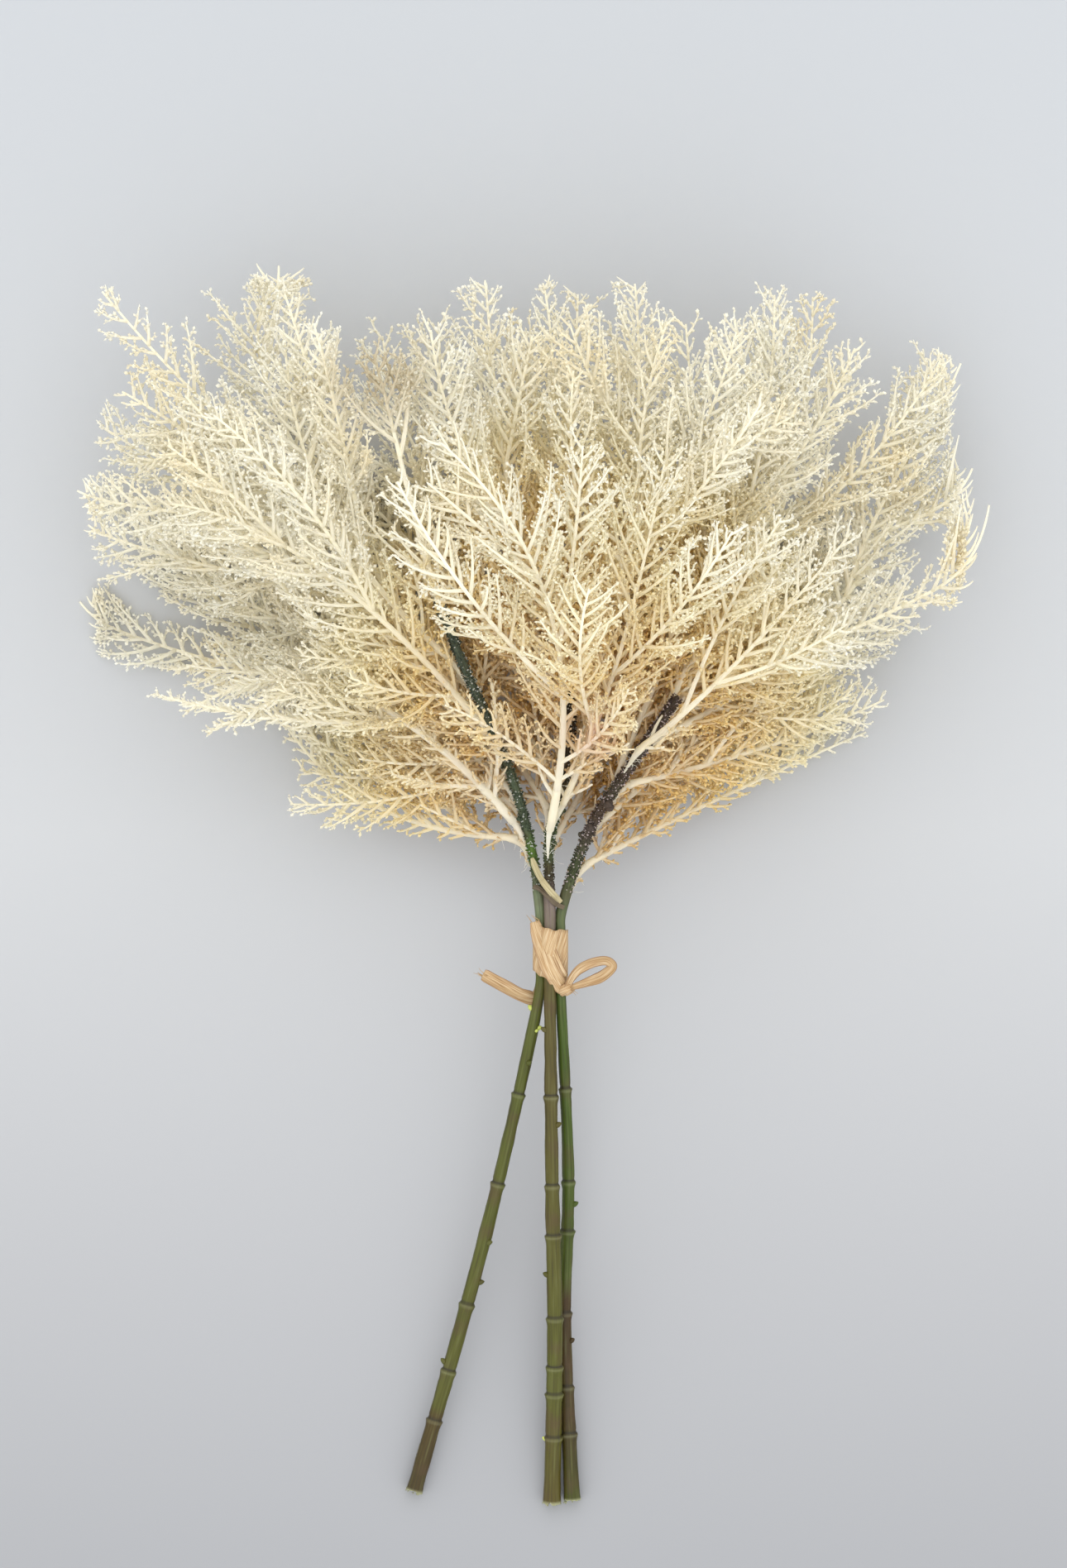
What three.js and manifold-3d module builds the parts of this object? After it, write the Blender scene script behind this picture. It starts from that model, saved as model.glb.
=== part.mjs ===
// A bundle of three artificial pampas stems, tied with raffia and lying on a flat surface.
// Units are millimetres and +Z is up. The cut ends point along -Y and the fronds along +Y.
// Every place is measured from the tie. The finished group is then moved, so that the middle
// of its box is at x = 0 and y = 0 and the lowest frond and the cut ends rest on z = 0.
import * as THREE from "three";
import { mergeVertices } from "three/addons/utils/BufferGeometryUtils.js";
import Module from "manifold-3d";

const wasm = await Module();
wasm.setup();

// Driving dimensions.
const GAP = 0.3; // clearance between any two pieces
const STEM_GAP = 0.4; // clearance between the stems where they are tied
const HEAD_WIDTH = 273; // across the frond tips
const HEAD_LENGTH = 219; // from the tie to the furthest frond tip
const HEAD_HEIGHT = 110; // from the surface to the highest frond
const STEM_LENGTH = 180; // from the tie to the cut ends
const STEM_SPREAD = 44; // sideways from the middle stem to the left stem's cut end
const TIE_HEIGHT = 30; // middle stem's axis above the surface, at the tie
const LEFT_NEST_ANGLE = 222; // where the outer stems lie round the middle one at the tie, in degrees
const RIGHT_NEST_ANGLE = -28;
const TIE_REACH = 11; // the stems stay parallel this far to each side of the tie's middle
const LEFT_DIAMETER = { tie: 3.5, cut: 5.0, top: 3.6 };
const MIDDLE_DIAMETER = { tie: 3.6, cut: 5.5, top: 3.6 };
const RIGHT_DIAMETER = { tie: 3.2, cut: 5.0, top: 3.8 };
const TOP_TAPER = 1 / 3; // share of the stem's top over which its diameter changes
const JOINT_STEP = 0.4; // how far a stalk joint stands proud
const JOINT_LENGTH = 2.4; // length of the flare below a joint
const BUD_LENGTH = 1.9; // side buds on the stalks, from the stalk's surface
const BUD_DIAMETER = 2.0;
const FROND_DIAMETER = { base: 3.0, tip: 1.0 }; // main rib of a frond
const BRANCH_DIAMETER = 1.5; // side branch, where it leaves the main rib
const BRANCH_LENGTH = 31; // longest side branch of a full-size frond
const BRANCH_ANGLE = 50; // degrees between a side branch and its main rib
const BRANCH_PAIRS = 5; // side branches on each side of a main rib
// Side branches are short by the stem, longest before the middle of the rib and short by the tip.
const BRANCH_FIRST = 0.2; // the first and the last one, as shares of the rib
const BRANCH_LAST = 0.94;
const BRANCH_SHORTEST = 0.3; // share of the longest
const BRANCH_PEAK = 0.35; // where the longest one is, as a share of the rib
const BAND_LENGTH = 14; // raffia band, along the stems
const RAFFIA_THICKNESS = 0.6;
const STRIP_WIDTH = 4.6; // raffia strip laid flat
const THIN_STRIP_WIDTH = 2.4; // raffia folded lengthwise
const KNOT_DIAMETER = 5;
const KNOT_FLATNESS = 0.8; // height of the knot as a share of its diameter

// Facets.
const STALK_SIDES = 8;
const STALK_STEPS = 9;
const TOP_STEPS = 7;
const RIB_SIDES = 5;
const BRANCH_SIDES = 3;
const RIB_STEPS = 7;
const STRIP_STEPS = 10;
const ROUTE_SAMPLES = 24;
const LENGTH_TRIES = 8;
const TIE_POINTS = [-1, -0.6, -0.2, 0.2, 0.6, 1]; // points of a route at the tie, in shares of its reach
const WELD = 1e-4; // corners nearer than this are one
const TINY = 1e-6;
const FINISH = { stalk: 0.6, frond: 0.9, raffia: 0.8 }; // roughness

const UP = new THREE.Vector3(0, 0, 1);
const RADIANS = Math.PI / 180;
const hundredths = (share) => share / 100;

const COLOURS = {
  stalk: 0x5f6b35,
  frond: 0xefe2bd,
  raffia: 0xcdb083,
};

// Routes below the tie are in hundredths of the spread, the stem's length and the tie's height,
// and routes above it in hundredths of the head's width, length and height.
function belowTie([x, y, z]) {
  return new THREE.Vector3(
    hundredths(x) * STEM_SPREAD,
    hundredths(y) * STEM_LENGTH,
    hundredths(z) * TIE_HEIGHT,
  );
}

function inHead([x, y, z]) {
  return new THREE.Vector3(
    hundredths(x) * HEAD_WIDTH,
    hundredths(y) * HEAD_LENGTH,
    hundredths(z) * HEAD_HEIGHT,
  );
}

// The two outer stems lie against the middle one at the tie, each at its own angle round it.
function nestBesideMiddle(diameter, angle) {
  const pitch = (MIDDLE_DIAMETER.tie + diameter.tie) / 2 + STEM_GAP;
  const turned = angle * RADIANS;
  return new THREE.Vector3(
    pitch * Math.cos(turned),
    0,
    TIE_HEIGHT + pitch * Math.sin(turned),
  );
}

const TIE_PLACE = {
  left: nestBesideMiddle(LEFT_DIAMETER, LEFT_NEST_ANGLE),
  middle: new THREE.Vector3(0, 0, TIE_HEIGHT),
  right: nestBesideMiddle(RIGHT_DIAMETER, RIGHT_NEST_ANGLE),
};

// below: points from the cut end to the tie. above: points from the tie to the stem's top.
// joints: places of the stalk's joints. buds: place and angle round the stalk.
// joints and buds are in hundredths of the stem's length, from the tie towards the cut end.
const STEMS = {
  left: {
    diameter: LEFT_DIAMETER,
    below: [[-62, -65, 34], [-38, -42, 58]],
    cut: [-100, -98],
    above: [[-2.2, 15, 28], [-4.4, 25, 35], [-7.4, 34, 43], [-10.4, 42.5, 50], [-13.2, 51.5, 55]],
    joints: [26, 42.5, 65, 77.5, 86.7],
    buds: [[53, 40], [60.5, 10], [76, 170], [20, 60]],
  },
  middle: {
    diameter: MIDDLE_DIAMETER,
    below: [[3, -84, 28], [3.6, -66, 51], [1.6, -42, 74]],
    cut: [1.6, -100],
    above: [[0, 17, 31], [1.2, 22, 35], [2, 27, 38], [2.4, 33, 41], [2, 38.5, 43]],
    joints: [26, 42, 51, 66, 75, 80, 88],
    buds: [[58, 175], [31, 20], [14, 160]],
  },
  right: {
    diameter: RIGHT_DIAMETER,
    below: [[13.4, -84, 18], [10.6, -66, 30], [13.6, -42, 55]],
    cut: [16.6, -99.6],
    above: [[3.6, 14.5, 29], [5.6, 20, 34], [8, 24.5, 39], [11, 30, 45], [14.8, 37, 52]],
    joints: [25, 42, 51, 66, 79.5, 88],
    buds: [[46, 12], [71, 25]],
  },
};

// Fronds on each stem: place on the stem's top in hundredths of its length above the tie,
// then the bend and the tip of the main rib, and the size of the side branches in hundredths.
const FRONDS = {
  left: [
    [30, [-26, 17, 12], [-34, 39, 1], 80],
    [35, [-25, 49, 60], [-42, 36, 40], 85],
    [46, [-24, 46, 34], [-41, 56, 20], 90],
    [40, [-34, 42, 8], [-54, 66, 3], 90],
    [53, [-33, 62, 40], [-53, 75, 34], 90],
    [60, [-35, 80, 54], [-48, 70, 48], 80],
    [67, [-28, 62, 82], [-44, 64, 66], 80],
    [75, [-42, 86, 28], [-31, 98, 36], 90],
    [84, [-30, 62, 66], [-32, 88, 58], 90],
    [100, [-17, 70, 76], [-22, 85, 76], 70],
  ],
  middle: [
    [46, [6, 53, 92], [-11, 73, 96], 100],
    [57, [9, 42, 78], [14, 70, 80], 100],
    [88, [-6, 64, 58], [-9, 98, 44], 100],
    [70, [2, 60, 24], [2, 97, 16], 100],
    [78, [12, 64, 62], [9, 97, 56], 100],
    [63, [-16, 60, 24], [-20, 90, 22], 100],
    [51, [-12, 44, 6], [-28, 70, 1], 100],
    [42, [12, 40, 6], [22, 72, 1], 100],
    [100, [11, 72, 78], [26, 77, 66], 80],
  ],
  right: [
    [30, [17, 21, 14], [38, 31, 1], 80],
    [64, [24, 28, 32], [39, 38, 20], 80],
    [46, [24, 39, 22], [43, 48, 10], 90],
    [78, [17, 44, 74], [34, 61, 68], 90],
    [83, [44, 50, 26], [45, 86, 22], 90],
    [89, [31, 60, 36], [32, 95, 36], 90],
    [96, [26, 64, 58], [26, 95, 56], 90],
    [70, [16, 50, 56], [22, 69, 52], 90],
    [56, [22, 42, 8], [34, 66, 2], 90],
  ],
};

// Solids.

function solidOf(geometry) {
  geometry.deleteAttribute("normal");
  geometry.deleteAttribute("uv");
  const merged = mergeVertices(geometry, WELD);
  return new wasm.Manifold(
    new wasm.Mesh({
      numProp: 3,
      vertProperties: new Float32Array(merged.attributes.position.array),
      triVerts: new Uint32Array(merged.index.array),
    }),
  );
}

function meshOf(name, solid, colour, roughness) {
  const { vertProperties, triVerts } = solid.getMesh();
  const geometry = new THREE.BufferGeometry();
  geometry.setAttribute("position", new THREE.BufferAttribute(vertProperties, 3));
  geometry.setIndex(new THREE.BufferAttribute(triVerts, 1));
  geometry.computeVertexNormals();
  const material = new THREE.MeshStandardMaterial({ color: colour, roughness, metalness: 0 });
  const mesh = new THREE.Mesh(geometry, material);
  mesh.name = name;
  return mesh;
}

// The direction along a route and the two directions across it, at a share of its length.
function framesAt(route, share, roll = 0) {
  const along = route.getTangentAt(share);
  const across = new THREE.Vector3().crossVectors(along, UP).normalize();
  const over = new THREE.Vector3().crossVectors(across, along);
  across.applyAxisAngle(along, roll * RADIANS);
  over.applyAxisAngle(along, roll * RADIANS);
  return { along, across, over };
}

// Bends a geometry that stands along Y from 0 to the route's length, so that it follows the route.
function bendAlong(geometry, route, roll = 0) {
  const length = route.getLength();
  const position = geometry.attributes.position;
  const vertex = new THREE.Vector3();
  for (let i = 0; i < position.count; i++) {
    vertex.fromBufferAttribute(position, i);
    const share = THREE.MathUtils.clamp(vertex.y / length, 0, 1);
    const { across, over } = framesAt(route, share, roll);
    const place = route.getPointAt(share);
    place.addScaledVector(across, vertex.x).addScaledVector(over, vertex.z);
    position.setXYZ(i, place.x, place.y, place.z);
  }
  return geometry;
}

// A round bar along a route. Its profile is [radius, distance along the route] pairs.
function barAlong(route, profile, sides) {
  const [first, last] = [profile[0], profile.at(-1)];
  const outline = [[0, first[1]], ...profile, [0, last[1]]];
  const points = outline.map(([radius, distance]) => new THREE.Vector2(radius, distance));
  return solidOf(bendAlong(new THREE.LatheGeometry(points, sides), route));
}

// A flat strip along a route, with its broad faces up and down where roll is 0.
function stripAlong(points, width, roll = 0) {
  const route = new THREE.CatmullRomCurve3(points);
  const length = route.getLength();
  const strip = new THREE.BoxGeometry(width, length, RAFFIA_THICKNESS, 1, STRIP_STEPS, 1);
  strip.translate(0, length / 2, 0);
  return solidOf(bendAlong(strip, route, roll));
}

// Stems.

function stemRoute(side) {
  const { diameter, below, cut, above } = STEMS[side];
  const end = belowTie([cut[0], cut[1], 0]);
  end.z = diameter.cut / 2;
  const tie = TIE_PLACE[side];
  const atTie = TIE_POINTS.map((share) => new THREE.Vector3(tie.x, share * TIE_REACH, tie.z));
  return new THREE.CatmullRomCurve3(
    [end, ...below.map(belowTie), ...atTie, ...above.map(inHead)],
    false,
    "centripetal",
  );
}

// How far along the route a given y lies, for a route whose y only grows.
function distanceAtY(route, y) {
  const length = route.getLength();
  let [low, high] = [0, 1];
  for (let i = 0; i < ROUTE_SAMPLES; i++) {
    const middle = (low + high) / 2;
    if (route.getPointAt(middle).y < y) low = middle;
    else high = middle;
  }
  return low * length;
}

function stemAxis(side) {
  const route = stemRoute(side);
  const length = route.getLength();
  const tie = distanceAtY(route, 0);
  const { cut, tie: atTie, top } = STEMS[side].diameter;
  const taperAt = (distance) => Math.min(1, (distance - tie) / (length - tie) / TOP_TAPER);
  const radiusAt = (distance) =>
    distance < tie
      ? THREE.MathUtils.lerp(cut, atTie, distance / tie) / 2
      : THREE.MathUtils.lerp(atTie, top, taperAt(distance)) / 2;
  return { route, length, tie, radiusAt };
}

function stemSolid(side, axis) {
  const { joints, buds } = STEMS[side];
  const { route, length, tie, radiusAt } = axis;
  const fromTie = (share) => tie * (1 - hundredths(share));
  const evenly = (from, to, steps) =>
    Array.from({ length: steps + 1 }, (_, i) => THREE.MathUtils.lerp(from, to, i / steps));
  const rings = [
    ...evenly(0, tie - TIE_REACH, STALK_STEPS),
    ...evenly(tie + TIE_REACH, length, TOP_STEPS),
  ];
  const profile = rings.map((distance) => [radiusAt(distance), distance]);
  for (const joint of joints) {
    const at = fromTie(joint);
    const radius = radiusAt(at);
    profile.push([radius, at - JOINT_LENGTH], [radius + JOINT_STEP, at], [radius, at + JOINT_STEP]);
  }
  profile.sort((a, b) => a[1] - b[1]);
  let stem = barAlong(route, profile, STALK_SIDES);
  for (const [place, angle] of buds) {
    const share = fromTie(place) / length;
    const radius = radiusAt(share * length);
    const { along, across, over } = framesAt(route, share);
    const outward = across.multiplyScalar(Math.cos(angle * RADIANS));
    outward.addScaledVector(over, Math.sin(angle * RADIANS));
    const bud = new THREE.ConeGeometry(BUD_DIAMETER / 2, radius + BUD_LENGTH, RIB_SIDES);
    bud.translate(0, (radius + BUD_LENGTH) / 2, 0);
    bud.applyQuaternion(new THREE.Quaternion().setFromUnitVectors(new THREE.Vector3(0, 1, 0), outward));
    const seat = route.getPointAt(share).addScaledVector(along, -BUD_DIAMETER / 2);
    bud.translate(seat.x, seat.y, seat.z);
    stem = stem.add(solidOf(bud));
  }
  return stem;
}

// Fronds.

const STEM_TOP = 100; // place of a frond that carries on from the end of its stem

// The main rib starts beside the stem, or just past its end, and bends once on its way to the tip.
function frondAxis(axis, [place, bend, tip, size]) {
  const { route, length, tie, radiusAt } = axis;
  const distance = tie + hundredths(place) * (length - tie);
  const share = distance / length;
  const onStem = route.getPointAt(share);
  const { along } = framesAt(route, share);
  const towards = inHead(bend);
  const start = onStem.clone();
  if (place === STEM_TOP) {
    start.addScaledVector(along, FROND_DIAMETER.base / 2 + GAP);
  } else {
    const outward = towards.clone().sub(onStem);
    outward.addScaledVector(along, -outward.dot(along)).normalize();
    start.addScaledVector(outward, radiusAt(distance) + FROND_DIAMETER.base / 2 + GAP);
  }
  const end = inHead(tip);
  end.z = Math.max(end.z, FROND_DIAMETER.tip / 2);
  return { route: new THREE.QuadraticBezierCurve3(start, towards, end), size: hundredths(size) };
}

function ribRadius(share) {
  return THREE.MathUtils.lerp(FROND_DIAMETER.base, FROND_DIAMETER.tip, share) / 2;
}

function branchLength(share) {
  const rising = share / BRANCH_PEAK;
  const falling = (1 - share) / (1 - BRANCH_PEAK);
  const fullness = Math.min(rising, falling);
  return BRANCH_LENGTH * THREE.MathUtils.lerp(BRANCH_SHORTEST, 1, fullness);
}

// A place on the rib itself, whose steps are straight.
function placeOnRib(route, share) {
  const step = Math.min(Math.floor(share * RIB_STEPS), RIB_STEPS - 1);
  const [from, to] = [route.getPointAt(step / RIB_STEPS), route.getPointAt((step + 1) / RIB_STEPS)];
  return from.lerp(to, share * RIB_STEPS - step);
}

function branchAt(frond, index) {
  const count = BRANCH_PAIRS * 2;
  const share = THREE.MathUtils.lerp(BRANCH_FIRST, BRANCH_LAST, index / (count - 1));
  const side = index % 2 ? 1 : -1;
  const { along, across } = framesAt(frond.route, share);
  const direction = along.multiplyScalar(Math.cos(BRANCH_ANGLE * RADIANS));
  direction.addScaledVector(across, side * Math.sin(BRANCH_ANGLE * RADIANS));
  return {
    start: placeOnRib(frond.route, share),
    direction,
    length: branchLength(share) * frond.size,
  };
}

// The shortest distance between two straight stretches.
function distanceBetween(a, b) {
  const first = a.end.clone().sub(a.start);
  const second = b.end.clone().sub(b.start);
  const between = a.start.clone().sub(b.start);
  const [aa, bb, ab] = [first.lengthSq(), second.lengthSq(), first.dot(second)];
  const [af, bf] = [first.dot(between), second.dot(between)];
  const spread = aa * bb - ab * ab;
  const clamp = (value) => THREE.MathUtils.clamp(value, 0, 1);
  let onFirst = spread > TINY ? clamp((ab * bf - af * bb) / spread) : 0;
  const onSecond = clamp((ab * onFirst + bf) / bb);
  onFirst = clamp((ab * onSecond - af) / aa);
  const p = a.start.clone().addScaledVector(first, onFirst);
  const q = b.start.clone().addScaledVector(second, onSecond);
  return p.distanceTo(q);
}

function stretchesOf(owner, route, radiusAtShare) {
  return Array.from({ length: ROUTE_SAMPLES }, (_, i) => ({
    owner,
    start: route.getPointAt(i / ROUTE_SAMPLES),
    end: route.getPointAt((i + 1) / ROUTE_SAMPLES),
    radius: radiusAtShare(i / ROUTE_SAMPLES),
  }));
}

// The longest stretch of a side branch that keeps clear of every other piece and of the surface.
function clearBranch(owner, branch, taken) {
  for (let tries = LENGTH_TRIES; tries > 1; tries--) {
    const length = (branch.length * tries) / LENGTH_TRIES;
    const end = branch.start.clone().addScaledVector(branch.direction, length);
    const stretch = { owner, start: branch.start, end, radius: BRANCH_DIAMETER / 2, length };
    const isClear = (other) =>
      other.owner === owner || distanceBetween(stretch, other) > stretch.radius + other.radius + GAP;
    if (end.z > 0 && taken.every(isClear)) return { ...branch, ...stretch };
  }
  return null;
}

function frondSolid(frond, branches) {
  const length = frond.route.getLength();
  const profile = Array.from({ length: RIB_STEPS + 1 }, (_, i) => {
    const share = i / RIB_STEPS;
    return [ribRadius(share), share * length];
  });
  let solid = barAlong(frond.route, profile, RIB_SIDES);
  for (const branch of branches) {
    const spike = new THREE.ConeGeometry(BRANCH_DIAMETER / 2, branch.length, BRANCH_SIDES);
    spike.translate(0, branch.length / 2, 0);
    const turn = new THREE.Quaternion().setFromUnitVectors(new THREE.Vector3(0, 1, 0), branch.direction);
    spike.applyQuaternion(turn);
    spike.translate(branch.start.x, branch.start.y, branch.start.z);
    solid = solid.add(solidOf(spike));
  }
  return solid;
}

// Raffia.

// The outline that hugs the three stems at the tie, a given distance out from them.
function outlineRoundStems(offset) {
  const circles = [
    [TIE_PLACE.left, LEFT_DIAMETER.tie],
    [TIE_PLACE.middle, MIDDLE_DIAMETER.tie],
    [TIE_PLACE.right, RIGHT_DIAMETER.tie],
  ];
  const points = circles.flatMap(([centre, diameter]) => {
    const radius = diameter / 2 + offset;
    const circle = new THREE.EllipseCurve(centre.x, centre.z, radius, radius);
    return circle.getPoints(STALK_SIDES * 2).slice(1);
  });
  const sum = points.reduce((total, p) => total.add(p), new THREE.Vector2());
  const middle = sum.divideScalar(points.length);
  const turned = (a, b, c) => (b.x - a.x) * (c.y - a.y) - (b.y - a.y) * (c.x - a.x);
  const isOuter = (p, q) => points.every((r) => turned(p, q, r) >= -TINY);
  const hull = points.filter((p) => points.some((q) => p.distanceTo(q) > GAP && isOuter(p, q)));
  hull.sort((p, q) => p.clone().sub(middle).angle() - q.clone().sub(middle).angle());
  return hull;
}

function raffiaBand() {
  const outline = new THREE.Shape(outlineRoundStems(GAP + RAFFIA_THICKNESS));
  outline.holes.push(new THREE.Path(outlineRoundStems(GAP)));
  const band = new THREE.ExtrudeGeometry(outline, { depth: BAND_LENGTH, bevelEnabled: false });
  band.rotateX(Math.PI / 2);
  band.translate(0, BAND_LENGTH / 2, 0);
  return solidOf(band);
}

// The height just above the stems at a place seen from above.
function aboveStems(x, y) {
  const clear = STEM_GAP + RAFFIA_THICKNESS;
  const heights = Object.values(axes).map(({ route, length, radiusAt }) => {
    const distance = distanceAtY(route, y);
    const centre = route.getPointAt(distance / length);
    const radius = radiusAt(distance) + clear;
    const aside = Math.abs(x - centre.x);
    return centre.z + (aside < radius ? Math.sqrt(radius ** 2 - aside ** 2) : 0);
  });
  return Math.max(...heights);
}

// Strips that lie over the stems, as [x, y] places from the left side to the right.
const CROSSING = [[-5.2, 6], [-2.6, 3], [0, -2], [2.6, -7], [5.4, -11.4]];
const UPPER_WRAP = [[-8, 31], [-5.2, 27.5], [-0.4, 21.5], [4.4, 16.5], [7.4, 14.5]];
// The bow of the knot, as [x, y, z]: an open loop to the right, from the knot's middle, and a
// flat end to the left, from the tie.
const LOOP = [
  [0, 0, 0],
  [6.2, 4, 0.6],
  [12.8, 8.8, 1],
  [15.2, 8.2, 1],
  [13.4, 5.6, 0.8],
  [7.4, 2, 0.4],
  [1, -0.6, 0],
];
const TAIL = [
  [-3.2, -5, -5.1],
  [-5.4, -10.5, -6.2],
  [-8.6, -13.6, -5.4],
  [-14, -12.4, -3.6],
  [-21.6, -8, -2],
];

function stripOverStems(places, width) {
  const points = places.map(([x, y]) => {
    const heights = [-width / 2, 0, width / 2].map((aside) => aboveStems(x + aside, y));
    return new THREE.Vector3(x, y, Math.max(...heights));
  });
  return stripAlong(points, width);
}

function raffiaTie() {
  const crossing = stripOverStems(CROSSING, STRIP_WIDTH);
  const [x, y] = CROSSING.at(-1);
  const centre = new THREE.Vector3(x, y, aboveStems(x, y) + (KNOT_DIAMETER / 2) * KNOT_FLATNESS);
  const knot = new THREE.SphereGeometry(KNOT_DIAMETER / 2, STALK_SIDES, RIB_SIDES);
  knot.scale(1, 1, KNOT_FLATNESS);
  knot.translate(centre.x, centre.y, centre.z);
  const loop = LOOP.map((place) => new THREE.Vector3(...place).add(centre));
  const tail = TAIL.map(([tx, ty, tz]) => new THREE.Vector3(tx, ty, TIE_HEIGHT + tz));
  const bow = [stripAlong(loop, THIN_STRIP_WIDTH, 90), stripAlong(tail, STRIP_WIDTH)];
  return [crossing, solidOf(knot), ...bow].reduce((tie, piece) => tie.add(piece), raffiaBand());
}

const axes = Object.fromEntries(Object.keys(STEMS).map((side) => [side, stemAxis(side)]));
const bundle = new THREE.Group();
for (const side of Object.keys(STEMS)) {
  const stem = stemSolid(side, axes[side]);
  bundle.add(meshOf(`stem_${side}`, stem, COLOURS.stalk, FINISH.stalk));
}

const fronds = Object.entries(FRONDS).flatMap(([side, rows]) =>
  rows.map((row, i) => ({ name: `frond_${side}_${i + 1}`, ...frondAxis(axes[side], row) })),
);
const taken = [
  ...Object.entries(axes).flatMap(([side, { route, length, radiusAt }]) =>
    stretchesOf(side, route, (share) => radiusAt(share * length)),
  ),
  ...fronds.flatMap(({ name, route }) => stretchesOf(name, route, ribRadius)),
];
const grown = new Map(fronds.map(({ name }) => [name, []]));
for (let index = 0; index < BRANCH_PAIRS * 2; index++) {
  for (const frond of fronds) {
    const branch = clearBranch(frond.name, branchAt(frond, index), taken);
    if (!branch) continue;
    taken.push(branch);
    grown.get(frond.name).push(branch);
  }
}
for (const frond of fronds) {
  const solid = frondSolid(frond, grown.get(frond.name));
  bundle.add(meshOf(frond.name, solid, COLOURS.frond, FINISH.frond));
}

bundle.add(meshOf("raffia_tie", raffiaTie(), COLOURS.raffia, FINISH.raffia));
const wrap = stripOverStems(UPPER_WRAP, THIN_STRIP_WIDTH);
bundle.add(meshOf("raffia_wrap", wrap, COLOURS.raffia, FINISH.raffia));

const box = new THREE.Box3().setFromObject(bundle);
const centre = box.getCenter(new THREE.Vector3());
bundle.position.set(-centre.x, -centre.y, -box.min.z);

export default bundle;
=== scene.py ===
"""The bundle of artificial pampas grass, lying on a pale floor and seen from above.

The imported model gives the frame. Every piece of it is replaced here by a finer one on the same
lines: three jointed stems with flocked tops, fern-like fronds, and the raffia that ties them.
Lengths are in millimetres from the tie until a mesh is made, which puts them in the frame's metres.
"""

import math

import bpy
import numpy as np
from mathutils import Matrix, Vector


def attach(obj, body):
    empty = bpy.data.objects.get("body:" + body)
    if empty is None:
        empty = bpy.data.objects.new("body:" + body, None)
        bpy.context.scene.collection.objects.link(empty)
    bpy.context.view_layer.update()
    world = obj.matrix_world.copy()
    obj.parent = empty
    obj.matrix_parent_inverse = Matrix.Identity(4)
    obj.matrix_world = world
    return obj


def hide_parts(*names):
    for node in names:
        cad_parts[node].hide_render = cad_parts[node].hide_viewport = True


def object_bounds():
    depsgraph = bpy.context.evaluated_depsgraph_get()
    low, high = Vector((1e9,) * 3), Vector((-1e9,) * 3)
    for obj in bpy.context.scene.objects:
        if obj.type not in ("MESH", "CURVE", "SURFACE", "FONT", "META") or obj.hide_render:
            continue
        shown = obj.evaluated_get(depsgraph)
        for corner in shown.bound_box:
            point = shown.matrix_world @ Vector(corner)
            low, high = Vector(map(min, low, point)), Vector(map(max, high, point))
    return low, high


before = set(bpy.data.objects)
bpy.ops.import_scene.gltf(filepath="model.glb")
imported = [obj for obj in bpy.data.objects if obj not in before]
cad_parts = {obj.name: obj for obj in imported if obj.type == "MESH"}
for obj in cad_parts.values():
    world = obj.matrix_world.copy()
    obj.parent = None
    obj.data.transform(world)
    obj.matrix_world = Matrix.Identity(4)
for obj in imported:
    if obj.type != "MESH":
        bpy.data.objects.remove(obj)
CAD_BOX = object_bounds()
MM = 0.001

# Driving dimensions, as in the part's source.
HEAD = np.array([273.0, 219.0, 110.0])  # width, length from the tie, height
STEM_LENGTH = 180.0
STEM_SPREAD = 44.0
TIE_HEIGHT = 30.0
STEM_GAP = 0.4
TIE_REACH = 11.0
RIB_BASE, RIB_TIP = 1.15, 0.4  # radius of a frond's main rib

# Stems: diameter at the tie, the cut and the top, the route below the tie in hundredths of the
# spread, length and tie height, the cut end, the route above it in hundredths of the head, the
# stalk's joints in hundredths of its length, its buds with their angles round it, and the angle at
# which it lies against the middle stem at the tie.
STEMS = {
    "left": {
        "diameter": (3.5, 5.0, 3.6),
        "below": [(-62, -65, 34), (-38, -42, 58)],
        "cut": (-100, -98),
        "above": [(-2.2, 15, 28), (-4.4, 25, 35), (-7.4, 34, 43), (-10.4, 42.5, 50), (-13.2, 51.5, 55)],
        "joints": [26, 42.5, 65, 77.5, 86.7],
        "buds": [(53, 40), (60.5, 10), (76, 170), (20, 60)],
        "nest": 222,
    },
    "middle": {
        "diameter": (3.6, 5.5, 3.6),
        "below": [(3, -84, 28), (3.6, -66, 51), (1.6, -42, 74)],
        "cut": (1.6, -100),
        "above": [(0, 17, 31), (1.2, 22, 35), (2, 27, 38), (2.4, 33, 41), (2, 38.5, 43)],
        "joints": [26, 42, 51, 66, 75, 80, 88],
        "buds": [(58, 175), (31, 20), (14, 160)],
        "nest": None,
    },
    "right": {
        "diameter": (3.2, 5.0, 3.8),
        "below": [(13.4, -84, 18), (10.6, -66, 30), (13.6, -42, 55)],
        "cut": (16.6, -99.6),
        "above": [(3.6, 14.5, 29), (5.6, 20, 34), (8, 24.5, 39), (11, 30, 45), (14.8, 37, 52)],
        "joints": [25, 42, 51, 66, 79.5, 88],
        "buds": [(46, 12), (71, 25)],
        "nest": -28,
    },
}

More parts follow.
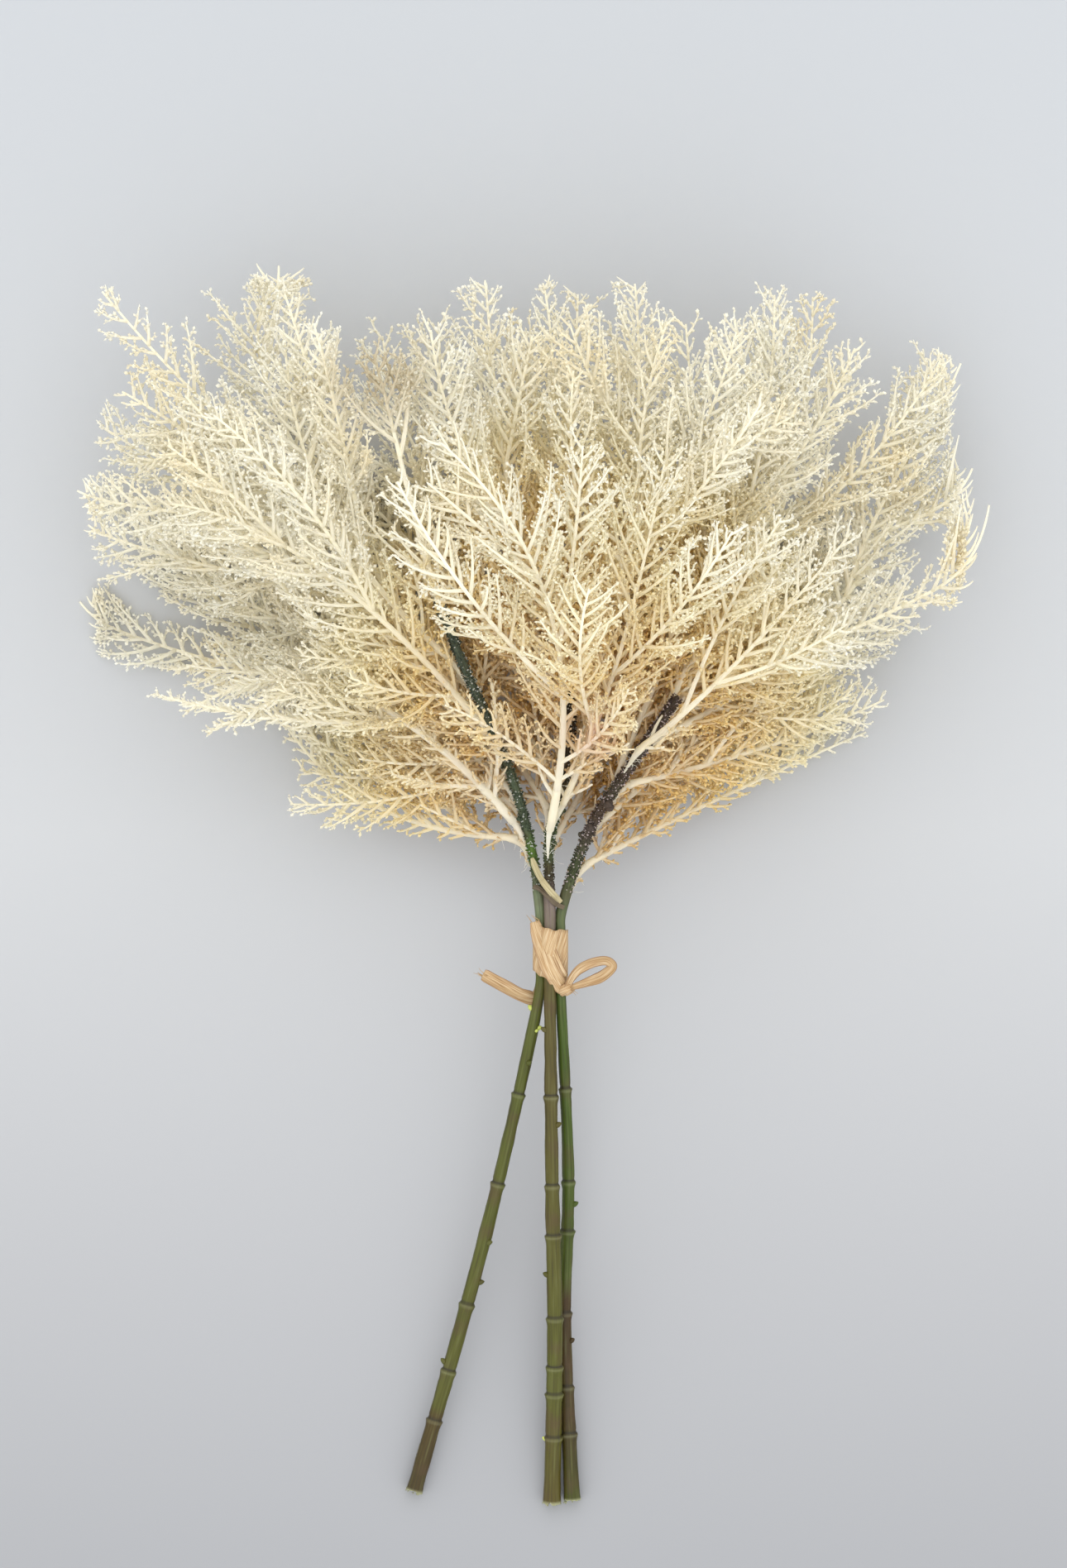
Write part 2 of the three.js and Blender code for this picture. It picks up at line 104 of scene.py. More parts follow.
# Fronds: the bend and the tip of the main rib in hundredths of the head, and the size of the side
# branches in hundredths.
FRONDS = {
    "left": [
        [(-26, 17, 12), (-34, 39, 1), 80],
        [(-25, 49, 60), (-42, 36, 40), 85],
        [(-24, 46, 34), (-41, 56, 20), 90],
        [(-34, 42, 8), (-54, 66, 3), 90],
        [(-33, 62, 40), (-53, 75, 34), 90],
        [(-35, 80, 54), (-48, 70, 48), 80],
        [(-28, 62, 82), (-44, 64, 66), 80],
        [(-42, 86, 28), (-31, 98, 36), 90],
        [(-30, 62, 66), (-32, 88, 58), 90],
        [(-17, 70, 76), (-22, 85, 76), 70],
    ],
    "middle": [
        [(6, 53, 92), (-11, 73, 96), 100],
        [(9, 42, 78), (14, 70, 80), 100],
        [(-6, 64, 58), (-9, 98, 44), 100],
        [(2, 60, 24), (2, 97, 16), 100],
        [(12, 64, 62), (9, 97, 56), 100],
        [(-16, 60, 24), (-20, 90, 22), 100],
        [(-12, 44, 6), (-28, 70, 1), 100],
        [(12, 40, 6), (22, 72, 1), 100],
        [(11, 72, 78), (26, 77, 66), 80],
    ],
    "right": [
        [(17, 21, 14), (38, 31, 1), 80],
        [(24, 28, 32), (39, 38, 20), 80],
        [(24, 39, 22), (43, 48, 10), 90],
        [(20, 38, 70), (34, 61, 68), 90],
        [(44, 50, 26), (45, 86, 22), 90],
        [(31, 60, 36), (32, 95, 36), 90],
        [(26, 64, 58), (26, 95, 56), 90],
        [(16, 50, 56), (22, 69, 52), 90],
        [(22, 42, 8), (34, 66, 2), 90],
    ],
}

UP = np.array([0.0, 0.0, 1.0])


def in_head(place):
    return np.array(place) * HEAD / 100


def below_tie(place):
    return np.array(place) * (STEM_SPREAD, STEM_LENGTH, TIE_HEIGHT) / 100


def unit(v):
    return v / np.maximum(np.linalg.norm(v, axis=-1, keepdims=True), 1e-9)


def distances(line):
    """How far along a line each of its points is."""
    return np.concatenate([[0], np.cumsum(np.linalg.norm(np.diff(line, axis=0), axis=1))])


def places_at(at, far, line):
    """The places on a line at some distances along it."""
    return np.stack([np.interp(at, far, line[:, k]) for k in range(line.shape[1])], axis=-1)


def add_object(name, data):
    added = bpy.data.objects.new(name, data)
    bpy.context.scene.collection.objects.link(added)
    return added


def node_points(name):
    """The corners of a CAD node, each one once, in millimetres."""
    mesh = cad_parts[name].data
    flat = np.zeros(len(mesh.vertices) * 3)
    mesh.vertices.foreach_get("co", flat)
    return np.unique(np.round(flat.reshape(-1, 3) / MM, 4), axis=0)


def end_ring(points, distance, reach):
    """The middle of the ring of corners at the far end, where distance is largest."""
    return points[distance > distance.max() - reach].mean(axis=0)


def place_of_tie():
    """Where the tie is in the frame, which the middle stem's cut end fixes."""
    cut_end = below_tie((*STEMS["middle"]["cut"], 0)) + UP * STEMS["middle"]["diameter"][1] / 2
    corners = node_points("stem_middle")
    return end_ring(corners, -corners[:, 1], 6) - cut_end


TIE = place_of_tie()


# Materials.


class Paint:
    """A new material, and short ways to add nodes to it, which give each node's output."""

    def __init__(self, name):
        self.material = bpy.data.materials.new(name)
        self.material.use_nodes = True
        self.nodes = self.material.node_tree.nodes
        self.link = self.material.node_tree.links.new
        self.shader = self.nodes["Principled BSDF"]

    def finish(self, colour, specular):
        self.link(colour, self.shader.inputs["Base Color"])
        self.shader.inputs["Specular IOR Level"].default_value = specular
        return self.material

    def where(self):
        return self.nodes.new("ShaderNodeTexCoord").outputs["Object"]

    def tag(self, name):
        node = self.nodes.new("ShaderNodeAttribute")
        node.attribute_name = name
        return node.outputs["Fac"]

    def span(self, value, low, high, top=1.0, bottom=0.0):
        """A number taken from low…high to bottom…top."""
        node = self.nodes.new("ShaderNodeMapRange")
        for name, number in (("From Min", low), ("From Max", high), ("To Min", bottom), ("To Max", top)):
            node.inputs[name].default_value = number
        self.link(value, node.inputs["Value"])
        return node.outputs["Result"]

    def ramp(self, factor, stops):
        node = self.nodes.new("ShaderNodeValToRGB")
        elements = node.color_ramp.elements
        while len(elements) < len(stops):
            elements.new(0.5)
        for element, (place, colour) in zip(elements, stops):
            element.position = place
            element.color = (*colour, 1)
        self.link(factor, node.inputs["Fac"])
        return node.outputs["Color"]

    def tint(self, factor, colour, tint):
        """A colour mixed towards a tint."""
        node = self.nodes.new("ShaderNodeMix")
        node.data_type = "RGBA"
        self.link(factor, node.inputs["Factor"])
        self.link(colour, node.inputs["A"])
        node.inputs["B"].default_value = (*tint, 1)
        return node.outputs["Result"]

    def noise(self, vector, scale, detail=3.0):
        node = self.nodes.new("ShaderNodeTexNoise")
        node.inputs["Scale"].default_value = scale
        node.inputs["Detail"].default_value = detail
        self.link(vector, node.inputs["Vector"])
        return node.outputs["Fac"]

    def combine(self, *values):
        node = self.nodes.new("ShaderNodeCombineXYZ")
        for value, socket in zip(values, node.inputs):
            self.link(value, socket)
        return node.outputs["Vector"]

    def scaled(self, vector, scale):
        node = self.nodes.new("ShaderNodeVectorMath")
        node.operation = "MULTIPLY"
        node.inputs[1].default_value = scale
        self.link(vector, node.inputs[0])
        return node.outputs["Vector"]

    def near(self, where, place, inner, outer, top=1.0):
        """A number that falls from top to nought between two distances, in metres, from a place."""
        apart = self.nodes.new("ShaderNodeVectorMath")
        apart.operation = "DISTANCE"
        apart.inputs[1].default_value = tuple(place * MM)
        self.link(where, apart.inputs[0])
        return self.span(apart.outputs["Value"], outer, inner, top)


# Camera, floor and light.

LENS, SENSOR = 150.0, 36.0
FRAME_HEIGHT = 500.5  # what the picture's height takes in at the height of its centre
VIEW_CENTRE = np.array([-5.3, 53.3, 40.0])  # from the tie


def add_camera():
    data = bpy.data.cameras.new("camera")
    data.lens = LENS
    data.sensor_width = SENSOR
    data.clip_end = 100
    camera = add_object("camera", data)
    camera.location = (VIEW_CENTRE + UP * FRAME_HEIGHT * LENS / SENSOR + TIE) * MM
    bpy.context.scene.camera = camera


# The paper under the bundle is painted darker towards the cut ends, as painted shade where the light
# falls off: colours from the first place along it, in metres, to the second.
FLOOR_FROM, FLOOR_TO = -0.26, 0.30
FLOOR_FALLOFF_COLOURS = [
    (0.0, (0.268, 0.267, 0.270)),
    (0.25, (0.340, 0.336, 0.337)),
    (0.5, (0.418, 0.416, 0.413)),
    (1.0, (0.394, 0.400, 0.406)),
]
FLOOR_HALF = 12.0


def add_floor():
    mesh = bpy.data.meshes.new("floor")
    corners = [(x * FLOOR_HALF, y * FLOOR_HALF, 0) for x, y in ((-1, -1), (1, -1), (1, 1), (-1, 1))]
    mesh.from_pydata(corners, [], [(0, 1, 2, 3)])
    paint = Paint("floor")
    apart = paint.nodes.new("ShaderNodeSeparateXYZ")
    paint.link(paint.where(), apart.inputs["Vector"])
    # Painted shade: the floor darkens towards the cut ends.
    colour = paint.ramp(paint.span(apart.outputs["Y"], FLOOR_FROM, FLOOR_TO), FLOOR_FALLOFF_COLOURS)
    paint.shader.inputs["Roughness"].default_value = 0.9
    mesh.materials.append(paint.finish(colour, 0.2))
    add_object("floor", mesh)


def add_area_light(name, place, target, size, watts, colour):
    data = bpy.data.lights.new(name, "AREA")
    data.shape = "DISK"
    data.size = size
    data.energy = watts
    data.color = colour
    light = add_object(name, data)
    light.location = place
    x, y, z = np.array(target) - np.array(place)
    light.rotation_euler = (math.atan2(math.hypot(x, y), -z), 0, math.atan2(y, x) - math.pi / 2)


def add_lights():
    add_area_light("key", (-0.05, 1.25, 1.3), (0, 0.15, 0), 2.2, 6.0, (1.0, 0.99, 0.97))
    add_area_light("fill", (0.1, -0.5, 1.7), (0, 0, 0), 1.8, 2.4, (0.97, 0.985, 1.0))
    world = bpy.data.worlds.new("world")
    bpy.context.scene.world = world
    world.use_nodes = True
    background = world.node_tree.nodes["Background"]
    background.inputs["Color"].default_value = (0.93, 0.96, 1.0, 1)
    background.inputs["Strength"].default_value = 1.73
    bpy.context.scene.view_settings.view_transform = "Standard"
    # Light goes many times from twig to twig in the pale flock.
    bpy.context.scene.cycles.max_bounces = 16
    bpy.context.scene.cycles.diffuse_bounces = 12


# Mesh building.


class Shape:
    """Gathers corners and faces, with numbers for each corner, called tags, that the materials read."""

    def __init__(self, **usual):
        self.corners = []
        self.faces = []
        self.usual = usual
        self.tags = {tag: [] for tag in usual}
        self.count = 0

    def add(self, corners, faces, **tags):
        corners = corners.reshape(-1, 3)
        self.corners.append(corners)
        self.faces += [f + self.count for f in faces]
        for tag, values in self.tags.items():
            value = np.asarray(tags.get(tag, self.usual[tag]), float).reshape(-1)
            values.append(np.broadcast_to(value, len(corners)))
        self.count += len(corners)

    def keep_above(self, height):
        """Lifts what is lower than a height over the floor."""
        for corners in self.corners:
            corners[:, 2] = np.maximum(corners[:, 2], height - TIE[2])

    def build(self, name, material):
        corners = np.concatenate(self.corners)
        mesh = bpy.data.meshes.new(name)
        mesh.vertices.add(len(corners))
        mesh.vertices.foreach_set("co", ((corners + TIE) * MM).astype(np.float32).ravel())
        sizes = np.concatenate([np.full(len(f), f.shape[1]) for f in self.faces])
        loops = np.concatenate([f.ravel() for f in self.faces])
        mesh.loops.add(len(loops))
        mesh.loops.foreach_set("vertex_index", loops.astype(np.int32))
        mesh.polygons.add(len(sizes))
        mesh.polygons.foreach_set("loop_start", (np.cumsum(sizes) - sizes).astype(np.int32))
        mesh.polygons.foreach_set("loop_total", sizes.astype(np.int32))
        mesh.polygons.foreach_set("use_smooth", np.full(len(sizes), True))
        for tag, values in self.tags.items():
            attribute = mesh.attributes.new(tag, "FLOAT", "POINT")
            attribute.data.foreach_set("value", np.concatenate(values).astype(np.float32))
        mesh.update(calc_edges=True)
        mesh.validate()
        mesh.materials.append(material)
        return add_object(name, mesh), corners, loops


def tube_faces(count, rings, sides):
    """Faces of count closed tubes, each with rings of sides corners."""
    first = (np.arange(count) * rings * sides)[:, None, None]
    ring = (np.arange(rings - 1) * sides)[None, :, None]
    side = np.arange(sides)[None, None, :]
    after = (np.arange(sides) + 1)[None, None, :] % sides
    a, b = first + ring + side, first + ring + after
    walls = np.stack([a, b, b + sides, a + sides], axis=-1).reshape(-1, 4)
    starts = (first[:, 0] + np.arange(sides)[None, ::-1]).reshape(-1, sides)
    ends = (first[:, 0] + (rings - 1) * sides + np.arange(sides)[None, :]).reshape(-1, sides)
    return [walls, starts, ends]


def tube_corners(points, radii, sides, over):
    """Rings round lines of points (count, rings, 3). over is a rough direction across each line."""
    along = unit(np.gradient(points, axis=1))
    across = unit(np.cross(along, over))
    upward = np.cross(across, along)
    turn = np.arange(sides) / sides * 2 * math.pi
    ring = across[:, :, None] * np.cos(turn)[:, None] + upward[:, :, None] * np.sin(turn)[:, None]
    return points[:, :, None] + ring * radii[:, :, None, None]


def add_tubes(shape, points, radii, sides, over, **tags):
    count, rings = points.shape[:2]
    corners = tube_corners(points, radii, sides, over)
    spread = {tag: np.repeat(np.broadcast_to(v, (count, rings)).ravel(), sides) for tag, v in tags.items()}
    shape.add(corners, tube_faces(count, rings, sides), **spread)


# A leaflet is a small blunt club of eight faces: its foot, four corners round it, and its tip.
LEAFLET = np.array([[0, 0, 0], [-1, 0.66, 0], [0, 0.62, 1], [1, 0.66, 0], [0, 0.62, -1], [0, 1, 0]])
SIDES_OF_LEAFLET = [(1 + i, 1 + (i + 1) % 4) for i in range(4)]
LEAFLET_FACES = np.array([[0, b, a] for a, b in SIDES_OF_LEAFLET] + [[5, a, b] for a, b in SIDES_OF_LEAFLET])


def add_leaflets(shape, base, along, over, length, width, thickness, **tags):
    across = unit(np.cross(along, over))
    upward = np.cross(across, along)
    x = across[:, None] * LEAFLET[None, :, :1] * width[:, None, None]
    y = along[:, None] * LEAFLET[None, :, 1:2] * length[:, None, None]
    z = upward[:, None] * LEAFLET[None, :, 2:] * thickness[:, None, None]
    first = (np.arange(len(base)) * len(LEAFLET))[:, None, None]
    faces = (LEAFLET_FACES[None] + first).reshape(-1, 3)
    spread = {tag: np.repeat(np.broadcast_to(v, len(base)), len(LEAFLET)) for tag, v in tags.items()}
    shape.add(base[:, None] + x + y + z, [faces], **spread)


# Stems.

STEM_RINGS = 520
STEM_SIDES = 24
JOINT_STEP, JOINT_LENGTH = 0.55, 2.6
FLOCKED_FROM = 19.0  # the flock starts this far above the tie
PITH_RINGS = [(0.28, 0.1), (0.5, 0.9)]  # in the cut end: how far towards its middle, and how deep
# The tag called kind tells the stem's material what a corner belongs to. The stalk is 0.
OLD_BUD_KIND, GRAIN_KIND, NEW_BUD_KIND = 0.2, 0.5, 1
GRAINS = [(1700, FLOCKED_FROM, 0.75), (160, 34, 1.1)]  # count, where they start, and length
GRAIN_DEPTH = 0.58  # how deep a grain's foot is in the stem
SPLINTERS = 9
# Colours along each stem, in millimetres from the tie.
STEM_COLOURS = {
    "left": [
        (-182, (0.042, 0.027, 0.005)),
        (-157, (0.055, 0.035, 0.006)),
        (-154, (0.065, 0.064, 0.007)),
        (-40, (0.062, 0.070, 0.008)),
        (2, (0.072, 0.082, 0.013)),
        (14, (0.140, 0.170, 0.090)),
        (24, (0.085, 0.095, 0.050)),
        (32, (0.075, 0.140, 0.020)),
        (40, (0.060, 0.078, 0.045)),
        (130, (0.062, 0.074, 0.055)),
    ],
    "middle": [
        (-182, (0.067, 0.051, 0.007)),
        (-140, (0.065, 0.067, 0.006)),
        (-60, (0.068, 0.056, 0.009)),
        (-10, (0.072, 0.055, 0.013)),
        (14, (0.160, 0.120, 0.100)),
        (22, (0.050, 0.035, 0.028)),
        (30, (0.055, 0.070, 0.028)),
        (44, (0.050, 0.075, 0.028)),
        (52, (0.032, 0.020, 0.012)),
        (130, (0.040, 0.028, 0.018)),
    ],
    "right": [
        (-182, (0.044, 0.048, 0.004)),
        (-162, (0.039, 0.028, 0.004)),
        (-115, (0.044, 0.023, 0.005)),
        (-108, (0.045, 0.061, 0.005)),
        (-20, (0.042, 0.072, 0.006)),
        (12, (0.080, 0.100, 0.040)),
        (30, (0.052, 0.060, 0.030)),
        (40, (0.066, 0.048, 0.038)),
        (130, (0.050, 0.030, 0.023)),
    ],
}
PALE_GRAINS = {"left": (0.50, 0.50, 0.44), "middle": (0.50, 0.50, 0.44), "right": (0.46, 0.37, 0.34)}
NEW_BUD_COLOUR = (0.42, 0.46, 0.10)
STALK_ROUGHNESS, FLOCK_ROUGHNESS = 0.42, 0.95
# Young yellow buds: the distance below the tie, the angle round the stem, and the size.
NEW_BUDS = {"left": [(19.3, 195, 1.2), (25.0, 20, 1.1)], "middle": [(161, 178, 1.0)], "right": []}
# Knobs in the flock: the distance above the tie, the angle round the stem, and the size.
KNOBS = {
    "left": [(44, 150, 0.8), (66, 185, 0.9)],
    "middle": [(47, 25, 0.9), (55, 60, 1.7)],
    "right": [(38, 185, 0.8), (43, 100, 1.5), (51, 350, 1.4), (53, 60, 1.5), (70, 200, 0.7)],
}


def smooth_route(points, count):
    """Evenly spaced places along the centripetal curve through the points, and its length."""
    points = np.array(points, float)
    ends = np.vstack([2 * points[0] - points[1], points, 2 * points[-1] - points[-2]])
    t = np.linspace(0, 1, 24, endpoint=False)[:, None]
    pieces = []
    for i in range(1, len(ends) - 2):
        x0, x1, x2, x3 = ends[i - 1 : i + 3]
        d0, d1, d2 = (np.linalg.norm(b - a) ** 0.5 for a, b in ((x0, x1), (x1, x2), (x2, x3)))
        t1 = ((x1 - x0) / d0 - (x2 - x0) / (d0 + d1) + (x2 - x1) / d1) * d1
        t2 = ((x2 - x1) / d1 - (x3 - x1) / (d1 + d2) + (x3 - x2) / d2) * d1
        cubic = 2 * (x1 - x2) + t1 + t2
        square = 3 * (x2 - x1) - 2 * t1 - t2
        pieces.append(x1 + t1 * t + square * t**2 + cubic * t**3)
    dense = np.vstack([*pieces, points[-1:]])
    far = distances(dense)
    return places_at(np.linspace(0, far[-1], count), far, dense), far[-1]


def tie_place(side):
    stem = STEMS[side]
    if stem["nest"] is None:
        return np.array([0, 0, TIE_HEIGHT])
    pitch = (STEMS["middle"]["diameter"][0] + stem["diameter"][0]) / 2 + STEM_GAP
    turned = math.radians(stem["nest"])
    return np.array([pitch * math.cos(turned), 0, TIE_HEIGHT + pitch * math.sin(turned)])


def stem_route(side):
    stem = STEMS[side]
    end = below_tie((*stem["cut"], 0)) + UP * stem["diameter"][1] / 2
    tie = tie_place(side)
    at_tie = [tie + (0, share * TIE_REACH, 0) for share in (-1, -0.6, -0.2, 0.2, 0.6, 1)]
    points = [end, *map(below_tie, stem["below"]), *at_tie, *map(in_head, stem["above"])]
    route, length = smooth_route(points, STEM_RINGS)
    past = np.linspace(0, length, STEM_RINGS)
    past -= np.interp(0, route[:, 1], past)
    at_tie, cut, top = stem["diameter"]
    taper = np.clip(past / past[-1] * 3, 0, 1)
    diameter = np.where(past < 0, at_tie + (cut - at_tie) * past / past[0], at_tie + (top - at_tie) * taper)
    return route, past, diameter / 2


ROUTES = {side: stem_route(side) for side in STEMS}


def on_stem(side, past, turned):
    """A place on a stem's surface, the way out from it there and the way along the stem."""
    route, far, radius = ROUTES[side]
    past = np.atleast_1d(np.asarray(past, float))
    turned = np.radians(np.atleast_1d(turned))
    along = unit(places_at(past + 0.5, far, route) - places_at(past - 0.5, far, route))
    across = unit(np.cross(along, UP))
    over = np.cross(across, along)
    outward = across * np.cos(turned)[:, None] + over * np.sin(turned)[:, None]
    return places_at(past, far, route) + outward * np.interp(past, far, radius)[:, None], outward, along


def stem_shape(random, side):
    stem = STEMS[side]
    route, past, radius = ROUTES[side]
    radius = radius.copy()
    line, rim = np.zeros(STEM_RINGS), np.zeros(STEM_RINGS)
    for joint in stem["joints"]:
        below = past - past[0] * joint / 100
        swelling = np.clip(1 + below / JOINT_LENGTH, 0, 1) ** 1.4
        flare = np.where(below <= 0, swelling, np.clip(1 - below / 0.5, 0, 1))
        radius += JOINT_STEP * flare - 0.12 * np.exp(-(((below - 1.0) / 0.5) ** 2))
        line = np.maximum(line, np.exp(-(((below - 0.7) / 0.4) ** 2)))
        rim = np.maximum(rim, 0.14 * np.exp(-(((below + 0.4) / 0.4) ** 2)))
    radius += 0.3 * np.exp((past[0] - past) / 1.6)
    flocked = np.clip((past - FLOCKED_FROM) / 6, 0, 1)
    # The top end is rounded, and the cut end is a rough rim round paler pith.
    radius *= np.sqrt(np.clip((past[-1] - past) / 1.4, 0.06, 1)) * (1 - 0.28 * flocked)
    corners = tube_corners(route[None], radius[None], STEM_SIDES, UP)[0]
    outward = unit(corners - route[:, None])
    rough = random.normal(0, 1, corners.shape[:2])
    rough = (rough + np.roll(rough, 1, axis=0) + np.roll(rough, 1, axis=1)) / 2
    stripes = random.normal(0, 0.035, STEM_SIDES)
    slow = np.interp(past, np.linspace(past[0], past[-1], 60), random.normal(0, 0.07, 60))
    smooth = 0.012 * rough + stripes + slow[:, None]
    bumps = flocked[:, None] * 0.13 * rough + (1 - flocked[:, None]) * smooth
    corners += outward * bumps[..., None]
    along = unit(route[1] - route[0])
    corners[0] += along * random.normal(0, 0.32, (STEM_SIDES, 1))
    inwards = route[0] - corners[0]
    inner = [corners[0] + inwards * share + along * depth for share, depth in PITH_RINGS]
    corners = np.concatenate([inner[::-1], corners])
    far = np.concatenate([[past[0]] * 2, past])
    pith = np.concatenate([[1.0, 1.0, 0.8, 0.25], rim[2:]])
    line = np.concatenate([[0, 0], line])
    turn = np.arange(STEM_SIDES) / STEM_SIDES * 2 * math.pi
    shape = Shape(past=0, line=0, pith=0, kind=0, chance=0.5, turn_x=0, turn_y=0)
    rings = STEM_RINGS + len(PITH_RINGS)
    spread = {
        "past": np.repeat(far, STEM_SIDES),
        "line": np.repeat(line, STEM_SIDES),
        "pith": np.repeat(pith, STEM_SIDES),
        "turn_x": np.tile(np.cos(turn), rings),
        "turn_y": np.tile(np.sin(turn), rings),
    }
    shape.add(corners, tube_faces(1, rings, STEM_SIDES), **spread)
    return shape


def add_bud(shape, side, past, turned, size, kind):
    """A small pointed bud that leans towards the fronds."""
    place, outward, along = on_stem(side, past, turned)
    lean = unit(outward + along * 0.55)
    steps = np.array([-0.9, -0.1, 0.5, 1.0, 1.35, 1.5]) * size
    line = place + lean * steps[:, None]
    radius = np.array([0.8, 0.95, 0.85, 0.6, 0.3, 0.08]) * size
    add_tubes(shape, line[None], radius[None], 10, along, past=past, kind=kind)


def add_knob(shape, random, side, past, turned, size):
    """A lump of flock on a stem, or the stub of a side shoot."""
    place, outward, along = on_stem(side, past, turned)
    lean = unit(outward + along * random.uniform(0.2, 0.9))
    rings, sides = 9, 12
    steps = np.linspace(-0.9, 1.3, rings) * size
    line = place + lean * steps[:, None]
    radius = np.sqrt(np.clip(1 - np.linspace(-1, 1, rings) ** 4, 0.02, 1)) * size * 0.8
    corners = tube_corners(line[None], radius[None], sides, along)
    corners = corners + random.normal(0, 0.14, corners.shape)
    shape.add(corners, tube_faces(1, rings, sides), past=past)


def add_grains(shape, random, side, count, first, last, size):
    """Grains of flock scattered on a stretch of stem."""
    past = random.uniform(first, last, count)
    place, outward, along = on_stem(side, past, random.uniform(0, 360, count))
    way = unit(outward + random.normal(0, 0.5, outward.shape))
    length = size * random.uniform(0.6, 1.4, count)
    chance = random.uniform(0, 1, count)
    base = place - outward * GRAIN_DEPTH
    tags = {"past": past, "chance": chance, "kind": GRAIN_KIND}
    add_leaflets(shape, base, way, along, length, length * 0.4, length * 0.35, **tags)


def add_splinters(shape, random, side, cut):
    """Short fibres that stand out round the cut end."""
    place, outward, along = on_stem(side, np.full(SPLINTERS, cut + 0.4), random.uniform(0, 360, SPLINTERS))
    way = unit(outward * 0.5 - along * random.uniform(0.6, 1.4, (SPLINTERS, 1)))
    length = random.uniform(0.9, 1.7, SPLINTERS)
    base = place - outward * 0.3
    add_leaflets(shape, base, way, outward, length, length * 0.25, length * 0.15, past=cut, pith=0.5)


def add_stem(side, seed):
    random = np.random.default_rng(seed)
    shape = stem_shape(random, side)
    _, past, _ = ROUTES[side]
    for place, angle in STEMS[side]["buds"]:
        add_bud(shape, side, past[0] * place / 100, angle, 1.0, OLD_BUD_KIND)
    for place, angle, size in NEW_BUDS[side]:
        add_bud(shape, side, -place, angle, size * 0.8, NEW_BUD_KIND)
        add_bud(shape, side, -place - 0.9, angle + 30, size * 0.55, NEW_BUD_KIND)
    for place, angle, size in KNOBS[side]:
        add_knob(shape, random, side, place, angle, size)
    for count, first, size in GRAINS:
        add_grains(shape, random, side, count, first, past[-1], size)
    add_splinters(shape, random, side, past[0])
    shape.keep_above(0.05)
    piece, _, _ = shape.build(f"stalk_{side}", stem_material(side))
    place_piece(piece, f"stem_{side}")


def stem_material(side):
    """Satin moulded stalk with fine stripes, a dark line over each joint, and rough flock above."""
    paint = Paint(f"stem_{side}")
    past = paint.tag("past")
    low, high = STEM_COLOURS[side][0][0], STEM_COLOURS[side][-1][0]
    stops = [((far - low) / (high - low), colour) for far, colour in STEM_COLOURS[side]]
    colour = paint.ramp(paint.span(past, low, high), stops)
    round_stem = paint.combine(paint.tag("turn_x"), paint.tag("turn_y"), past)
    stripes = paint.noise(paint.scaled(round_stem, (3.2, 3.2, 0.06)), 1.0, 4.0)
    colour = paint.tint(paint.span(stripes, 0.5, 0.75, 0.5), colour, (0.12, 0.12, 0.045))
    colour = paint.tint(paint.span(stripes, 0.5, 0.3, 0.6), colour, (0.028, 0.022, 0.008))
    stains = paint.noise(paint.where(), 90)
    colour = paint.tint(paint.span(stains, 0.52, 0.7, 0.5), colour, (0.070, 0.038, 0.018))
    colour = paint.tint(paint.tag("line"), colour, (0.022, 0.018, 0.008))
    colour = paint.tint(paint.tag("pith"), colour, (0.42, 0.42, 0.24))
    kind = paint.tag("kind")
    # About a quarter of the grains of flock are pale, with a pink cast on the right stem.
    pale = paint.nodes.new("ShaderNodeMath")
    pale.operation = "MULTIPLY"
    paint.link(paint.span(paint.tag("chance"), 0.70, 0.76), pale.inputs[0])
    paint.link(paint.span(kind, 0.4, 0.45, 0.75), pale.inputs[1])
    colour = paint.tint(pale.outputs["Value"], colour, PALE_GRAINS[side])
    colour = paint.tint(paint.span(kind, 0.9, 1.0), colour, NEW_BUD_COLOUR)
    rough = paint.span(past, FLOCKED_FROM - 4, FLOCKED_FROM + 4, FLOCK_ROUGHNESS, STALK_ROUGHNESS)
    paint.link(rough, paint.shader.inputs["Roughness"])
    return paint.finish(colour, 0.22)


# Fronds.

# How a frond usually is: the share of its rib that is bare, its forks, how white it is, the radius
# of its rib, whether its side branches are short tufts, how much further apart they stand, and how
# long they are to the right and to the left, looking along the rib. Its forks are on one side, 1 for
# right and -1 for left, or on both. An extra sprig leaves the rib at a share of its length, and
# may cross the stems on its way to a tip of its own, in millimetres from the tie.
USUAL = {
    "bare": 0.03,
    "forks": 3,
    "white": 0.0,
    "rib": RIB_BASE,
    "tufted": False,
    "apart": 1.0,
    "right": 1.0,
    "left": 1.0,
    "only": 0,
    "extra": [],
}
STYLES = {
    "left_1": {"left": 0.3, "only": 1},
    "left_2": {"tufted": True, "white": 0.95, "rib": 1.5},
    "left_3": {"white": 0.6},
    "left_5": {"white": 0.4},
    "left_8": {"forks": 2, "apart": 1.35},
    "left_9": {"bare": 0.3},
    "left_10": {"bare": 0.6, "forks": 1, "white": 0.7, "rib": 1.25},
    "middle_1": {"bare": 0.17, "white": 0.8, "rib": 1.35, "extra": [(0.10, (-33, 78, 78))]},
    "middle_2": {"bare": 0.1, "white": 0.35},
    "right_1": {"right": 0.3, "only": -1},
    "right_2": {"right": 0.6, "only": -1},
    "right_3": {"only": -1},
    "right_4": {"bare": 0.35, "white": 0.5},
}
RIB_RINGS, RIB_SIDES = 36, 8
BASAL_FORKS = 3
SHORTENINGS = 4  # how often a fork that hides a stem is cut by a quarter
FOOT_SCALE = 0.26  # size of the side branches on the foot
FOOT_BELOW = np.array([10.0, 6.5, 3.0])  # the foot's places, this far down the stem from the rib's start
FOOT_OUT = np.array([-0.1, 0.35, 0.9])  # how far it stands out of the stem there
FOOT_RADIUS = [(0, 0.25, 0.6, 1), (0.2, 0.55, 1.05, 0.97)]  # places along it, and shares of the rib's
